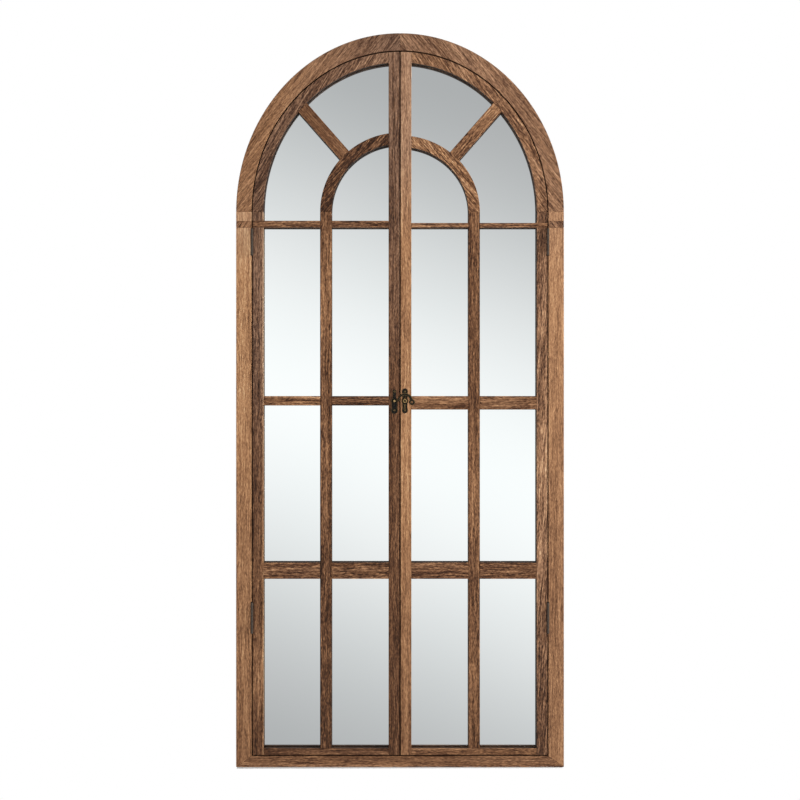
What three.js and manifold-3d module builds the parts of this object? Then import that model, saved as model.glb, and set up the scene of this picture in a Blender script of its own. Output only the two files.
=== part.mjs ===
// Arched full length mirror in the form of a window: a fixed arched frame of wood holds one sheet of
// mirror glass in its back, and two lattice leaves on butt hinges close in front of the glass.
// Millimetres. X runs to the right, Y to the back, Z up. The origin is on the underside of the bottom
// rail, halfway along it and halfway through the frame's depth.

import * as THREE from "three";
import { mergeVertices } from "three/addons/utils/BufferGeometryUtils.js";
import Module from "manifold-3d";

const wasm = await Module();
wasm.setup();

// Overall form
const overallWidth = 804;
const overallHeight = 1800;
const archRise = 438; // from the springing line up to the crown, outside
const arcSteps = 28; // straight steps in a quarter of an arch

// Fixed frame
const jambWidth = 38;
const crownWidth = 42.5; // the arch pieces grow from the jamb's width to this
const bottomRailHeight = 27;
const stopThickness = 4; // lip between the leaves and the glass
const stopOverlap = 9; // how far the lip reaches in behind the leaves
const rebateWidth = 10; // groove for the glass, outwards from the daylight edge
const keyHeight = 16;
const keyDepth = 10;
const keyDrop = 23; // from the springing line down to the key
const centreStopWidth = 24;

// Glass and board
const mirrorThickness = 4;
const mirrorEdgeGap = 2; // round the glass in its rebate
const boardThickness = 4;
const boardInset = 6; // from the frame's outer edge

// Clearances
const seatGap = 0.3; // between pieces that lie on each other
const jointGap = 0.3; // between the faces of a wood joint
const closingGap = 0.5; // from the back of a closed leaf to the lip
const leafGap = 2.5; // from the jambs and the bottom rail to the leaves
const crownGap = 3; // from the frame's arch to the leaves at the crown
const meetingGap = 3; // between the two leaves

// Lattice leaves
const leafThickness = 16;
const hingeStileWidth = 26.3;
const meetingStileWidth = 26.5;
const archRailCrownWidth = 26.3;
const leafBottomRailHeight = 16.2;
const muntinWidth = 28.2;
const muntinOffset = 0.3; // outwards from the middle of the leaf's daylight
const radialBarWidth = 30;
const radialBarAngle = THREE.MathUtils.degToRad(48.7);
const radialBarDrop = 16; // its middle line meets the leaf's meeting edge this far below the springing line
const lowerRailTop = 501.3;
const lowerRailHeight = 39.8;
const lockRailTop = 910;

// The rails and the small arch were cut by hand, so the two leaves differ a little
const leftLeaf = { side: -1, lockRailHeight: 23.3, springingRailDrop: 22, springingRailHeight: 16.7, smallArchRise: 194.5 };
const rightLeaf = { side: 1, lockRailHeight: 33.3, springingRailDrop: 27.4, springingRailHeight: 11.3, smallArchRise: 187.5 };

// Butt hinges
const upperHingeHeight = 66;
const lowerHingeHeight = 76;
const knuckleCount = 5;
const knuckleRadius = 3;
const knuckleSides = 16;
const knuckleClearance = 0.3; // from knuckle to wood, and between knuckles
const plateThickness = 1.6;
const plateBackMargin = 2; // wood left behind the plate in the leaf's edge
const pinRadius = 1.1;
const pinClearance = 0.35;
const pinHeadRadius = 2;
const pinHeadHeight = 1.8;
const hingeBelowJoint = 2.5; // from the springing joints down to the upper hinges
const lowerHingeCentre = 366;

// Hook latch
const latchPlateThickness = 2;
const latchDrop = 12; // from the top of the lock rails down to the latch's middle
const keeperInset = 12.2; // from the left leaf's meeting edge to the keeper's post
const pivotInset = 10.6; // from the right leaf's meeting edge to the hook's pivot
const plateDiscRadius = 8.3;
const plateLobeDistance = 23; // from the latch's middle to each lobe's
const keeperPlate = { topLobeRadius: 5, lowLobeRadius: 8.6, topNeckWidth: 8, lowNeckWidth: 14 };
const hookPlate = { topLobeRadius: 7.6, lowLobeRadius: 7.2, topNeckWidth: 12.4, lowNeckWidth: 12.4 };
const plateFacets = 20;
const plateLoopRadius = 3.3; // of the raised oblong loop below the hook's pivot
const plateLoopSlotRadius = 1.5;
const plateLoopLength = 7.5; // between the middles of its round ends
const plateLoopGap = 1; // from the pivot's eye down to the loop
const plateScrewHeadHeight = 0.9;
const plateScrewHeadRadius = 2.6;
const plateScrewRadius = 1.2;
const plateScrewLength = 10;
const hookRadius = 16; // of the hook's middle line round its pivot
const hookBarRadius = 1.5;
const hookBarSides = 8;
const hookSteps = 14;
const hookClearance = 0.4; // from the hook to screw heads and to the pivot's head
const hookTailAngle = THREE.MathUtils.degToRad(-9.5);
const thumbRingRadius = 4.7;
const thumbRingBarRadius = 1.25;
const eyeRadius = 5.4;
const pivotRadius = 2.4;
const pivotClearance = 0.4;
const pivotHeadRadius = 4.6;
const pivotHeadHeight = 1.6;
const postLength = 12; // of the pivot and the keeper's post in the wood
const keeperPostRadius = 2.6;
const keeperHeadRadius = 3.7;
const hookTipGap = 0.8; // between the hook's tip and the keeper's horn

// Wall hangers, let into the backing board
const hangerWidth = 16;
const hangerHeight = 52;
const hangerThickness = 1.5;
const hangerInset = 16; // from the frame's outer edge to the hanger's middle
const hangerDrop = 90; // from the springing line down to the hanger's middle
const hangerScrewSpacing = 40;
const hangerScrewRadius = 1.6;
const hangerScrewHeadRadius = 3.2;
const hangerScrewLength = 16;
const keyholeRadius = 4;
const keyholeSlotRadius = 2;
const keyholeSlotLength = 7;
const headPocketDepth = 9; // behind the keyhole, for the head of the wall's screw
const headPocketMargin = 1; // from the keyhole's edge to the pocket's
const screwHoleClearance = 0.3;

// Places worked out from the sizes above, as distances from the middle plane, the front or the floor
const outerHalf = overallWidth / 2;
const springingZ = overallHeight - archRise;
const daylightHalf = outerHalf - jambWidth;
const daylightRise = archRise - crownWidth;
const frameDepth = leafThickness + closingGap + stopThickness + mirrorThickness + 2 * seatGap;
const frontY = -frameDepth / 2;
const backY = frameDepth / 2;
const leafBackY = frontY + leafThickness;
const leafMiddleY = frontY + leafThickness / 2;
const lipFrontY = leafBackY + closingGap;
const lipBackY = lipFrontY + stopThickness;

const leafInner = meetingGap / 2;
const leafOuter = daylightHalf - leafGap;
const leafBottom = bottomRailHeight + leafGap;
const leafRise = daylightRise - crownGap;
const paneInner = leafInner + meetingStileWidth;
const paneOuter = leafOuter - hingeStileWidth;
const muntinCentre = (paneInner + paneOuter) / 2 + muntinOffset;
const muntinFrom = muntinCentre - muntinWidth / 2;
const muntinTo = muntinCentre + muntinWidth / 2;

const keyTop = springingZ - keyDrop;
const keyBottom = keyTop - keyHeight;
const springingRailTop = (leaf) => springingZ - leaf.springingRailDrop;
const springingRailBottom = (leaf) => springingRailTop(leaf) - leaf.springingRailHeight;

const hingeAxisX = daylightHalf - leafGap / 2;
const hingeAxisY = frontY - knuckleRadius - knuckleClearance;
const lowestJoint = Math.min(keyBottom, springingRailBottom(leftLeaf), springingRailBottom(rightLeaf));
const upperHingeCentre = lowestJoint - hingeBelowJoint - upperHingeHeight / 2;
const hinges = [
  { level: "upper", height: upperHingeHeight, centre: upperHingeCentre },
  { level: "lower", height: lowerHingeHeight, centre: lowerHingeCentre },
];
const plateWidth = leafThickness - plateBackMargin;

const latchZ = lockRailTop - latchDrop;
const keeperX = -(leafInner + keeperInset);
const pivotX = leafInner + pivotInset;
const latchPlateFrontY = frontY - seatGap - latchPlateThickness;
const hookY = latchPlateFrontY - plateScrewHeadHeight - hookClearance - hookBarRadius;

const boardFrontY = backY + seatGap;
const boardBackY = boardFrontY + boardThickness;
const hangerX = outerHalf - hangerInset;
const hangerZ = springingZ - hangerDrop;
const hangerFrontY = boardBackY - hangerThickness;
const slotTop = hangerZ + keyholeSlotLength;

// Solids and booleans

function solidOf(geometry) {
  const bare = geometry.index ? geometry.toNonIndexed() : geometry.clone();
  bare.deleteAttribute("normal");
  bare.deleteAttribute("uv");
  const merged = mergeVertices(bare);
  return new wasm.Manifold(
    new wasm.Mesh({
      numProp: 3,
      vertProperties: merged.attributes.position.array,
      triVerts: new Uint32Array(merged.index.array),
    }),
  );
}

function geometryOf(solid) {
  const mesh = solid.getMesh();
  const geometry = new THREE.BufferGeometry();
  geometry.setAttribute("position", new THREE.BufferAttribute(mesh.vertProperties, mesh.numProp));
  geometry.setIndex(new THREE.BufferAttribute(mesh.triVerts, 1));
  return geometry;
}

// An upright slab: the outline's points are [distance from the middle plane, height], on the side given.
function slab(points, side, fromY, toY) {
  const shape = new THREE.Shape(points.map(([x, z]) => new THREE.Vector2(side * x, z)));
  const geometry = new THREE.ExtrudeGeometry(shape, { depth: toY - fromY, bevelEnabled: false });
  return solidOf(geometry.rotateX(Math.PI / 2).translate(0, toY, 0));
}

function block(side, fromX, toX, fromY, toY, fromZ, toZ) {
  const geometry = new THREE.BoxGeometry(toX - fromX, toY - fromY, toZ - fromZ);
  return solidOf(geometry.translate((side * (fromX + toX)) / 2, (fromY + toY) / 2, (fromZ + toZ) / 2));
}

// A round bar along Y, for posts and for the holes that take them.
function rodAlongY(x, z, radius, fromY, toY, sides = plateFacets) {
  const geometry = new THREE.CylinderGeometry(radius, radius, toY - fromY, sides);
  return solidOf(geometry.translate(x, (fromY + toY) / 2, z));
}

// A round bar along Z, about the Z axis.
function rodAlongZ(radius, fromZ, toZ, sides) {
  const geometry = new THREE.CylinderGeometry(radius, radius, toZ - fromZ, sides);
  return solidOf(geometry.rotateX(Math.PI / 2).translate(0, 0, (fromZ + toZ) / 2));
}

// Points on a quarter ellipse about the springing line, from there up to the vertical line at edgeX.
function quarterArc(halfWidth, rise, edgeX) {
  const last = Math.acos(edgeX / halfWidth);
  return Array.from({ length: arcSteps + 1 }, (_, i) => {
    const angle = (last * i) / arcSteps;
    return [halfWidth * Math.cos(angle), springingZ + rise * Math.sin(angle)];
  });
}

// Half of an arched band, such as an arch piece: outer arc up, inner arc back down.
function bandOutline(outerWidth, outerRise, innerWidth, innerRise, edgeX) {
  return [...quarterArc(outerWidth, outerRise, edgeX), ...quarterArc(innerWidth, innerRise, edgeX).reverse()];
}

// A whole arched panel, such as the glass.
function archedOutline(halfWidth, rise, bottomZ) {
  const right = quarterArc(halfWidth, rise, 0);
  const left = right.slice(0, -1).reverse().map(([x, z]) => [-x, z]);
  return [[halfWidth, bottomZ], ...right, ...left, [-halfWidth, bottomZ]];
}

// Materials

const finish = (color, roughness, metalness) => new THREE.MeshStandardMaterial({ color, roughness, metalness });
const lightWood = finish("#b0855f", 0.6, 0);
const middleWood = finish("#966e4e", 0.62, 0);
const darkWood = finish("#6b4a37", 0.65, 0);
const agedBrass = finish("#4d4433", 0.42, 0.9);
const agedSteel = finish("#3d3833", 0.5, 0.85);
const silveredGlass = finish("#f4f8f8", 0.02, 1);
const hardboard = finish("#5e4630", 0.85, 0);

// Fixed frame

// The frame's section in three layers, which run into each other behind the lip's front face: the wood in
// front of the lip up to the daylight edge, the stop lip, and the wood beside the rebate for the glass.
const frameLayers = [
  { reach: 0, from: frontY, to: lipBackY },
  { reach: stopOverlap, from: lipFrontY, to: lipBackY },
  { reach: -rebateWidth, from: lipFrontY, to: backY },
];

function layered(outlineFor, side) {
  const [front, lip, rebate] = frameLayers.map(({ reach, from, to }) => slab(outlineFor(reach), side, from, to));
  return front.add(lip).add(rebate);
}

const mitreZ = (x) => (bottomRailHeight * (outerHalf - x)) / jambWidth;
const mitreX = (z) => outerHalf - (jambWidth * z) / bottomRailHeight;

function jambOutline(reach) {
  const inner = daylightHalf - reach;
  const top = springingZ - jointGap;
  return [[outerHalf, jointGap], [outerHalf, top], [inner, top], [inner, mitreZ(inner) + jointGap]];
}

function bottomRailOutline(reach) {
  const top = bottomRailHeight + reach;
  return [[-outerHalf, 0], [outerHalf, 0], [mitreX(top), top], [-mitreX(top), top]];
}

function archPieceOutline(reach) {
  return bandOutline(outerHalf, archRise, daylightHalf - reach, daylightRise - reach, jointGap / 2);
}

function keyPocket(side) {
  return block(
    side,
    daylightHalf - jointGap,
    outerHalf + jointGap,
    frontY - jointGap,
    frontY + keyDepth + jointGap,
    keyBottom - jointGap,
    keyTop + jointGap,
  );
}

function key(side) {
  return block(side, daylightHalf, outerHalf, frontY, frontY + keyDepth, keyBottom, keyTop);
}

// Shallow seats for the hinge plates, in the wood at the given distance from the middle plane.
function hingeSeats(side, fromX, toX) {
  const y = [frontY - jointGap, frontY + plateWidth + jointGap];
  const [upper, lower] = hinges.map(({ height, centre }) => {
    const half = height / 2 + jointGap;
    return block(side, fromX, toX, ...y, centre - half, centre + half);
  });
  return upper.add(lower);
}

function jamb(side) {
  const wood = layered(jambOutline, side);
  const seats = hingeSeats(side, daylightHalf - jointGap, daylightHalf + plateThickness + jointGap);
  return wood.subtract(keyPocket(side)).subtract(seats).subtract(hangerScrewHoles(side)).subtract(headPocket(side));
}

function centreStop() {
  const half = centreStopWidth / 2;
  const bottom = bottomRailHeight + stopOverlap + jointGap;
  const lipHalf = daylightHalf - stopOverlap;
  const top = springingZ + (daylightRise - stopOverlap) * Math.sqrt(1 - (half / lipHalf) ** 2) - 2 * jointGap;
  return block(1, -half, half, lipFrontY, lipBackY, bottom, top);
}

function mirrorGlass() {
  const reach = rebateWidth - mirrorEdgeGap;
  const outline = archedOutline(daylightHalf + reach, daylightRise + reach, bottomRailHeight - reach);
  return slab(outline, 1, lipBackY + seatGap, lipBackY + seatGap + mirrorThickness);
}

function backingBoard() {
  const outline = archedOutline(outerHalf - boardInset, archRise - boardInset, boardInset);
  let board = slab(outline, 1, boardFrontY, boardBackY);
  for (const side of [-1, 1]) {
    board = board.subtract(hangerScrewHoles(side)).subtract(headPocket(side)).subtract(hangerSeat(side));
  }
  return board;
}

// Wall hangers

const hangerScrewHeights = [hangerZ - hangerScrewSpacing / 2, hangerZ + hangerScrewSpacing / 2];

function hangerScrewHoles(side) {
  const radius = hangerScrewRadius + screwHoleClearance;
  const deep = boardBackY - hangerScrewLength - screwHoleClearance;
  const [low, high] = hangerScrewHeights.map((z) => rodAlongY(side * hangerX, z, radius, deep, boardBackY + 1));
  return low.add(high);
}

// The shallow seat in the board that takes the hanger's plate.
function hangerSeat(side) {
  const [halfWidth, halfHeight] = [hangerWidth / 2 + jointGap, hangerHeight / 2 + jointGap];
  const y = [hangerFrontY - seatGap, boardBackY + 1];
  return block(side, hangerX - halfWidth, hangerX + halfWidth, ...y, hangerZ - halfHeight, hangerZ + halfHeight);
}

// The room behind the keyhole, through the board and into the jamb.
function headPocket(side) {
  const reach = keyholeRadius + headPocketMargin;
  const y = [hangerFrontY - headPocketDepth, boardBackY + 1];
  return block(side, hangerX - reach, hangerX + reach, ...y, hangerZ - reach, slotTop + reach);
}

// Cones in the plate for the flat heads of its screws, open to the back.
function countersinks(side) {
  const height = hangerScrewHeadRadius - hangerScrewRadius + 1;
  const wide = hangerScrewHeadRadius + screwHoleClearance + 1;
  const [low, high] = hangerScrewHeights.map((z) => {
    const cone = new THREE.CylinderGeometry(wide, wide - height, height, plateFacets);
    return solidOf(cone.translate(side * hangerX, boardBackY + 1 - height / 2, z));
  });
  return low.add(high);
}

// A flat plate with an upside-down keyhole: the round end lets a wall screw's head in, the slot holds it.
function hangerPlate(side) {
  const half = hangerHeight / 2;
  const x = side * hangerX;
  const across = [hangerX - hangerWidth / 2, hangerX + hangerWidth / 2];
  const plate = block(side, ...across, hangerFrontY, boardBackY, hangerZ - half, hangerZ + half);
  const through = [hangerFrontY - 1, boardBackY + 1];
  const entry = rodAlongY(x, hangerZ, keyholeRadius, ...through);
  const slotEnd = rodAlongY(x, slotTop, keyholeSlotRadius, ...through);
  const slot = block(side, hangerX - keyholeSlotRadius, hangerX + keyholeSlotRadius, ...through, hangerZ, slotTop);
  const keyhole = entry.add(slotEnd).add(slot);
  return plate.subtract(keyhole).subtract(hangerScrewHoles(side)).subtract(countersinks(side));
}

// A screw with a flat countersunk head, along Y: the head's face is at y 0 and the shank runs to -length.
function countersunkScrew(headRadius, shankRadius, length) {
  const profile = [
    [0, -length],
    [shankRadius, -length + 2 * shankRadius],
    [shankRadius, shankRadius - headRadius],
    [headRadius, 0],
    [0, 0],
  ];
  return new THREE.LatheGeometry(profile.map(([x, y]) => new THREE.Vector2(x, y)), 12);
}

// A screw with a domed head, along Y: the underside of the head is at y 0 and the shank runs to -length.
function screw(headRadius, headHeight, shankRadius, length) {
  const dome = [0, 1, 2, 3].map((i) => {
    const angle = (i * Math.PI) / 6;
    return new THREE.Vector2(headRadius * Math.cos(angle), headHeight * Math.sin(angle));
  });
  dome[3].x = 0;
  const tip = new THREE.Vector2(0, -length);
  const shoulder = new THREE.Vector2(shankRadius, -length + 2 * shankRadius);
  const neck = new THREE.Vector2(shankRadius, 0);
  return new THREE.LatheGeometry([tip, shoulder, neck, ...dome], 12);
}

// Lattice leaves

function hingeStile(leaf) {
  const { side } = leaf;
  const wood = block(side, paneOuter, leafOuter, frontY, leafBackY, leafBottom, springingZ - jointGap);
  const seats = hingeSeats(side, leafOuter - plateThickness - jointGap, leafOuter + jointGap);
  const lap = block(
    side,
    paneOuter - jointGap,
    leafOuter + jointGap,
    frontY - jointGap,
    leafMiddleY + jointGap / 2,
    springingRailBottom(leaf) - jointGap,
    springingRailTop(leaf) + jointGap,
  );
  return wood.subtract(seats).subtract(lap);
}

function meetingStile(leaf) {
  const topAt = (x) => springingZ + leafRise * Math.sqrt(1 - (x / leafOuter) ** 2);
  const middle = (leafInner + paneInner) / 2;
  const top = [leafInner, middle, paneInner].map((x) => [x, topAt(x)]);
  const wood = slab([[paneInner, leafBottom], [leafInner, leafBottom], ...top], leaf.side, frontY, leafBackY);
  return leaf.side < 0 ? wood.subtract(postHole(keeperX, keeperPostRadius)).subtract(latchScrewHoles(keeperX))
    : wood.subtract(postHole(pivotX, pivotRadius)).subtract(latchScrewHoles(pivotX));
}

function leafBottomRail(leaf) {
  const top = leafBottom + leafBottomRailHeight;
  return block(leaf.side, paneInner + jointGap, paneOuter - jointGap, frontY, leafBackY, leafBottom, top);
}

function archRail(leaf) {
  const outline = bandOutline(leafOuter, leafRise, paneOuter, leafRise - archRailCrownWidth, paneInner + jointGap);
  return slab(outline, leaf.side, frontY, leafBackY);
}

function smallArch(leaf) {
  const rise = leaf.smallArchRise;
  const outline = bandOutline(muntinTo, rise, muntinFrom, rise - muntinWidth, paneInner + jointGap);
  return slab(outline, leaf.side, frontY, leafBackY);
}

function radialBar(leaf) {
  const length = 2 * (leafRise + leafOuter);
  const turn = -leaf.side * radialBarAngle;
  const geometry = new THREE.BoxGeometry(length, leafThickness, radialBarWidth).rotateY(turn);
  const bar = solidOf(geometry.translate(0, leafMiddleY, springingZ - radialBarDrop));
  const upper = block(leaf.side, paneInner, leafOuter, frontY - 1, leafBackY + 1, springingZ, overallHeight);
  const within = archedOutline(paneOuter - jointGap, leafRise - archRailCrownWidth - jointGap, 0);
  const above = archedOutline(muntinTo + jointGap, leaf.smallArchRise + jointGap, 0);
  return bar
    .intersect(upper)
    .intersect(slab(within, 1, frontY - 1, leafBackY + 1))
    .subtract(slab(above, 1, frontY - 1, leafBackY + 1));
}

// Heights of the three rails that cross a leaf's muntin, as [bottom, top].
function railHeights(leaf) {
  return {
    springing: [springingRailBottom(leaf), springingRailTop(leaf)],
    lock: [lockRailTop - leaf.lockRailHeight, lockRailTop],
    lower: [lowerRailTop - lowerRailHeight, lowerRailTop],
  };
}

// The muntin runs in front of the rails, each halved where they cross.
function muntin(leaf) {
  const bottom = leafBottom + leafBottomRailHeight + jointGap;
  let wood = block(leaf.side, muntinFrom, muntinTo, frontY, leafBackY, bottom, springingZ - jointGap);
  for (const [from, to] of Object.values(railHeights(leaf))) {
    const lap = [leafMiddleY - jointGap / 2, leafBackY + jointGap, from - jointGap, to + jointGap];
    wood = wood.subtract(block(leaf.side, muntinFrom - jointGap, muntinTo + jointGap, ...lap));
  }
  return wood;
}

function crossRail(leaf, name) {
  const [bottom, top] = railHeights(leaf)[name];
  const wood = block(leaf.side, paneInner + jointGap, paneOuter - jointGap, frontY, leafBackY, bottom, top);
  const lapX = [muntinFrom - jointGap, muntinTo + jointGap];
  const lapY = [frontY - jointGap, leafMiddleY + jointGap / 2];
  return wood.subtract(block(leaf.side, ...lapX, ...lapY, bottom - jointGap, top + jointGap));
}

// The springing rail also runs over the hinge stile, halved, so its end grain shows at the leaf's edge.
function springingRail(leaf) {
  const [bottom, top] = railHeights(leaf).springing;
  const overlap = [paneOuter - 2 * jointGap, leafOuter, frontY, leafMiddleY - jointGap / 2];
  return crossRail(leaf, "springing").add(block(leaf.side, ...overlap, bottom, top));
}

// Butt hinges, drawn about the pin's middle with the frame on the side given

const boreRadius = pinRadius + pinClearance;

// One plate of a hinge with its knuckles: the frame's plate has the first, third and fifth.
function hingePlate(side, toFrame, height) {
  const wayOut = toFrame ? side : -side;
  const knuckleLength = height / knuckleCount;
  const inner = leafGap / 2;
  const outer = inner + plateThickness;
  const woodY = knuckleRadius + knuckleClearance;
  let plate = block(wayOut, inner, outer, woodY, woodY + plateWidth, -height / 2, height / 2);
  for (let i = toFrame ? 0 : 1; i < knuckleCount; i += 2) {
    const from = -height / 2 + i * knuckleLength + knuckleClearance / 2;
    const to = from + knuckleLength - knuckleClearance;
    const web = block(wayOut, inner, outer, 0, woodY + plateThickness, from, to);
    plate = plate.add(rodAlongZ(knuckleRadius, from, to, knuckleSides)).add(web);
  }
  return geometryOf(plate.subtract(rodAlongZ(boreRadius, -height, height, knuckleSides)));
}

function hingePin(height) {
  const half = height / 2;
  const points = [
    [0, -half],
    [pinRadius, -half],
    [pinRadius, half + seatGap],
    [pinHeadRadius, half + seatGap],
    [pinHeadRadius, half + seatGap + pinHeadHeight / 2],
    [pinHeadRadius / 2, half + seatGap + pinHeadHeight],
    [0, half + seatGap + pinHeadHeight],
  ];
  return new THREE.LatheGeometry(points.map(([x, y]) => new THREE.Vector2(x, y)), knuckleSides).rotateX(Math.PI / 2);
}

// Hook latch

function postHole(x, radius) {
  const deep = frontY + postLength + screwHoleClearance;
  return rodAlongY(x, latchZ, radius + screwHoleClearance, latchPlateFrontY - 1, deep);
}

const latchScrewHeights = [latchZ - plateLobeDistance, latchZ + plateLobeDistance];

function latchScrewHoles(x) {
  const radius = plateScrewRadius + screwHoleClearance;
  const deep = latchPlateFrontY + plateScrewLength + screwHoleClearance;
  const [low, high] = latchScrewHeights.map((z) => rodAlongY(x, z, radius, latchPlateFrontY - 1, deep));
  return low.add(high);
}

// A flat plate: a disc with a round lobe above and another below, each on a neck.
function latchPlate(x, postRadius, { topLobeRadius, lowLobeRadius, topNeckWidth, lowNeckWidth }) {
  const y = [latchPlateFrontY, frontY - seatGap];
  const [lowZ, topZ] = latchScrewHeights;
  const neck = (width, ...z) => block(1, x - width / 2, x + width / 2, ...y, ...z);
  const low = rodAlongY(x, lowZ, lowLobeRadius, ...y).add(neck(lowNeckWidth, lowZ, latchZ));
  const top = rodAlongY(x, topZ, topLobeRadius, ...y).add(neck(topNeckWidth, latchZ, topZ));
  const plate = rodAlongY(x, latchZ, plateDiscRadius, ...y).add(low).add(top);
  return plate.subtract(postHole(x, postRadius)).subtract(latchScrewHoles(x));
}

// The raised oblong loop on the hook's plate, as high as the screw heads so that the hook clears it.
function raisedLoop() {
  const top = latchZ - eyeRadius - plateLoopGap - plateLoopRadius;
  const ends = [top - plateLoopLength, top];
  const oblong = (radius, ...y) =>
    rodAlongY(pivotX, ends[0], radius, ...y)
      .add(rodAlongY(pivotX, ends[1], radius, ...y))
      .add(block(1, pivotX - radius, pivotX + radius, ...y, ...ends));
  const frontFace = latchPlateFrontY - plateScrewHeadHeight;
  const slot = oblong(plateLoopSlotRadius, frontFace - 1, latchPlateFrontY);
  return oblong(plateLoopRadius, frontFace, latchPlateFrontY + latchPlateThickness / 2).subtract(slot);
}

// A round bar bent to part of a circle in the plane of the hook, between two angles about its centre.
function bentBar(x, z, radius, barRadius, fromAngle, toAngle, steps) {
  class Bend extends THREE.Curve {
    getPoint(t, target = new THREE.Vector3()) {
      const angle = fromAngle + (toAngle - fromAngle) * t;
      return target.set(x + radius * Math.cos(angle), hookY, z + radius * Math.sin(angle));
    }
  }
  const section = new THREE.Shape().absarc(0, 0, barRadius, 0, 2 * Math.PI);
  const settings = { extrudePath: new Bend(), steps, curveSegments: hookBarSides };
  return solidOf(new THREE.ExtrudeGeometry(section, settings));
}

// The arc that the closed hook draws from its thumb ring up and over to the keeper's post.
function hookArc() {
  const from = hookTailAngle + thumbRingRadius / hookRadius;
  return bentBar(pivotX, latchZ, hookRadius, hookBarRadius, from, Math.PI, hookSteps);
}

// What lies on one side of the seam between hook and keeper, which is in the middle of the leaves' gap.
function sideOfSeam(side) {
  const reach = 4 * hookRadius;
  return block(side, hookTipGap / 2, reach, hookY - reach, hookY + reach, latchZ - reach, latchZ + reach);
}

function thumbRing() {
  const distance = hookRadius + hookBarRadius;
  const x = pivotX + distance * Math.cos(hookTailAngle);
  const z = latchZ + distance * Math.sin(hookTailAngle);
  const profile = new THREE.Shape().absarc(thumbRingRadius, 0, thumbRingBarRadius, 0, 2 * Math.PI);
  const ring = new THREE.LatheGeometry(profile.getPoints(4), 20);
  return solidOf(ring.translate(x, hookY, z));
}

function latchHook() {
  const eyeY = [hookY - hookBarRadius, hookY + hookBarRadius];
  const eye = rodAlongY(pivotX, latchZ, eyeRadius, ...eyeY);
  const neckZ = [latchZ + pivotRadius + pivotClearance, latchZ + hookRadius];
  const neck = block(1, pivotX - hookBarRadius, pivotX + hookBarRadius, ...eyeY, ...neckZ);
  const bore = rodAlongY(pivotX, latchZ, pivotRadius + pivotClearance, hookY - eyeRadius, hookY + eyeRadius);
  return hookArc().intersect(sideOfSeam(1)).add(thumbRing()).add(neck).add(eye).subtract(bore);
}

// A headed post: the hook turns on one, and the keeper's catch stands on the other.
function post(x, radius, headRadius, headHeight) {
  const headBackY = hookY - hookBarRadius - hookClearance;
  const shank = rodAlongY(x, latchZ, radius, headBackY - headHeight / 2, frontY + postLength);
  return shank.add(rodAlongY(x, latchZ, headRadius, headBackY - headHeight, headBackY));
}

// The keeper: its post, and a horn that carries the hook's arc on from the gap to the post.
function keeperCatch() {
  const horn = hookArc().intersect(sideOfSeam(-1));
  const hornFoot = pivotX - hookRadius;
  const foot = block(1, keeperX, hornFoot + hookBarRadius / 2, hookY - hookBarRadius, hookY + hookBarRadius,
    latchZ - hookBarRadius, latchZ + hookBarRadius);
  return post(keeperX, keeperPostRadius, keeperHeadRadius, pivotHeadHeight).add(horn).add(foot);
}

// Assembly

function piece(name, shape, material, place = [0, 0, 0]) {
  const geometry = shape.isBufferGeometry ? shape : geometryOf(shape);
  const mesh = new THREE.Mesh(geometry, material);
  mesh.name = name;
  mesh.position.set(...place);
  return mesh;
}

const sideName = (side) => (side < 0 ? "left" : "right");

function buildFrame() {
  const frame = new THREE.Group();
  frame.add(piece("bottom_rail", layered(bottomRailOutline, 1), middleWood));
  for (const side of [-1, 1]) {
    const name = sideName(side);
    frame.add(piece(`${name}_jamb`, jamb(side), lightWood));
    frame.add(piece(`${name}_arch_piece`, layered(archPieceOutline, side), middleWood));
    frame.add(piece(`${name}_springing_key`, key(side), darkWood));
  }
  frame.add(piece("centre_stop", centreStop(), darkWood));
  frame.add(piece("mirror_glass", mirrorGlass(), silveredGlass));
  frame.add(piece("backing_board", backingBoard(), hardboard));
  return frame;
}

function buildHangers() {
  const hangers = new THREE.Group();
  for (const side of [-1, 1]) {
    const name = sideName(side);
    hangers.add(piece(`${name}_hanger_plate`, hangerPlate(side), agedSteel));
    hangerScrewHeights.forEach((z, i) => {
      const shape = countersunkScrew(hangerScrewHeadRadius, hangerScrewRadius, hangerScrewLength);
      hangers.add(piece(`${name}_hanger_screw_${i + 1}`, shape, agedSteel, [side * hangerX, boardBackY, z]));
    });
  }
  return hangers;
}

function buildLeaf(leaf) {
  const group = new THREE.Group();
  const name = sideName(leaf.side);
  const stileWood = leaf.side < 0 ? darkWood : lightWood;
  group.add(
    piece(`${name}_hinge_stile`, hingeStile(leaf), darkWood),
    piece(`${name}_meeting_stile`, meetingStile(leaf), stileWood),
    piece(`${name}_leaf_bottom_rail`, leafBottomRail(leaf), middleWood),
    piece(`${name}_arch_rail`, archRail(leaf), middleWood),
    piece(`${name}_small_arch`, smallArch(leaf), middleWood),
    piece(`${name}_radial_bar`, radialBar(leaf), middleWood),
    piece(`${name}_muntin`, muntin(leaf), darkWood),
    piece(`${name}_springing_rail`, springingRail(leaf), middleWood),
    piece(`${name}_lock_rail`, crossRail(leaf, "lock"), middleWood),
    piece(`${name}_lower_rail`, crossRail(leaf, "lower"), middleWood),
  );
  return group;
}

function buildHinges(side) {
  const pair = new THREE.Group();
  pair.position.set(side * hingeAxisX, hingeAxisY, 0);
  for (const { level, height, centre } of hinges) {
    const name = `${sideName(side)}_${level}`;
    pair.add(
      piece(`${name}_frame_hinge_plate`, hingePlate(side, true, height), agedSteel, [0, 0, centre]),
      piece(`${name}_leaf_hinge_plate`, hingePlate(side, false, height), agedSteel, [0, 0, centre]),
      piece(`${name}_hinge_pin`, hingePin(height), agedSteel, [0, 0, centre]),
    );
  }
  return pair;
}

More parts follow.
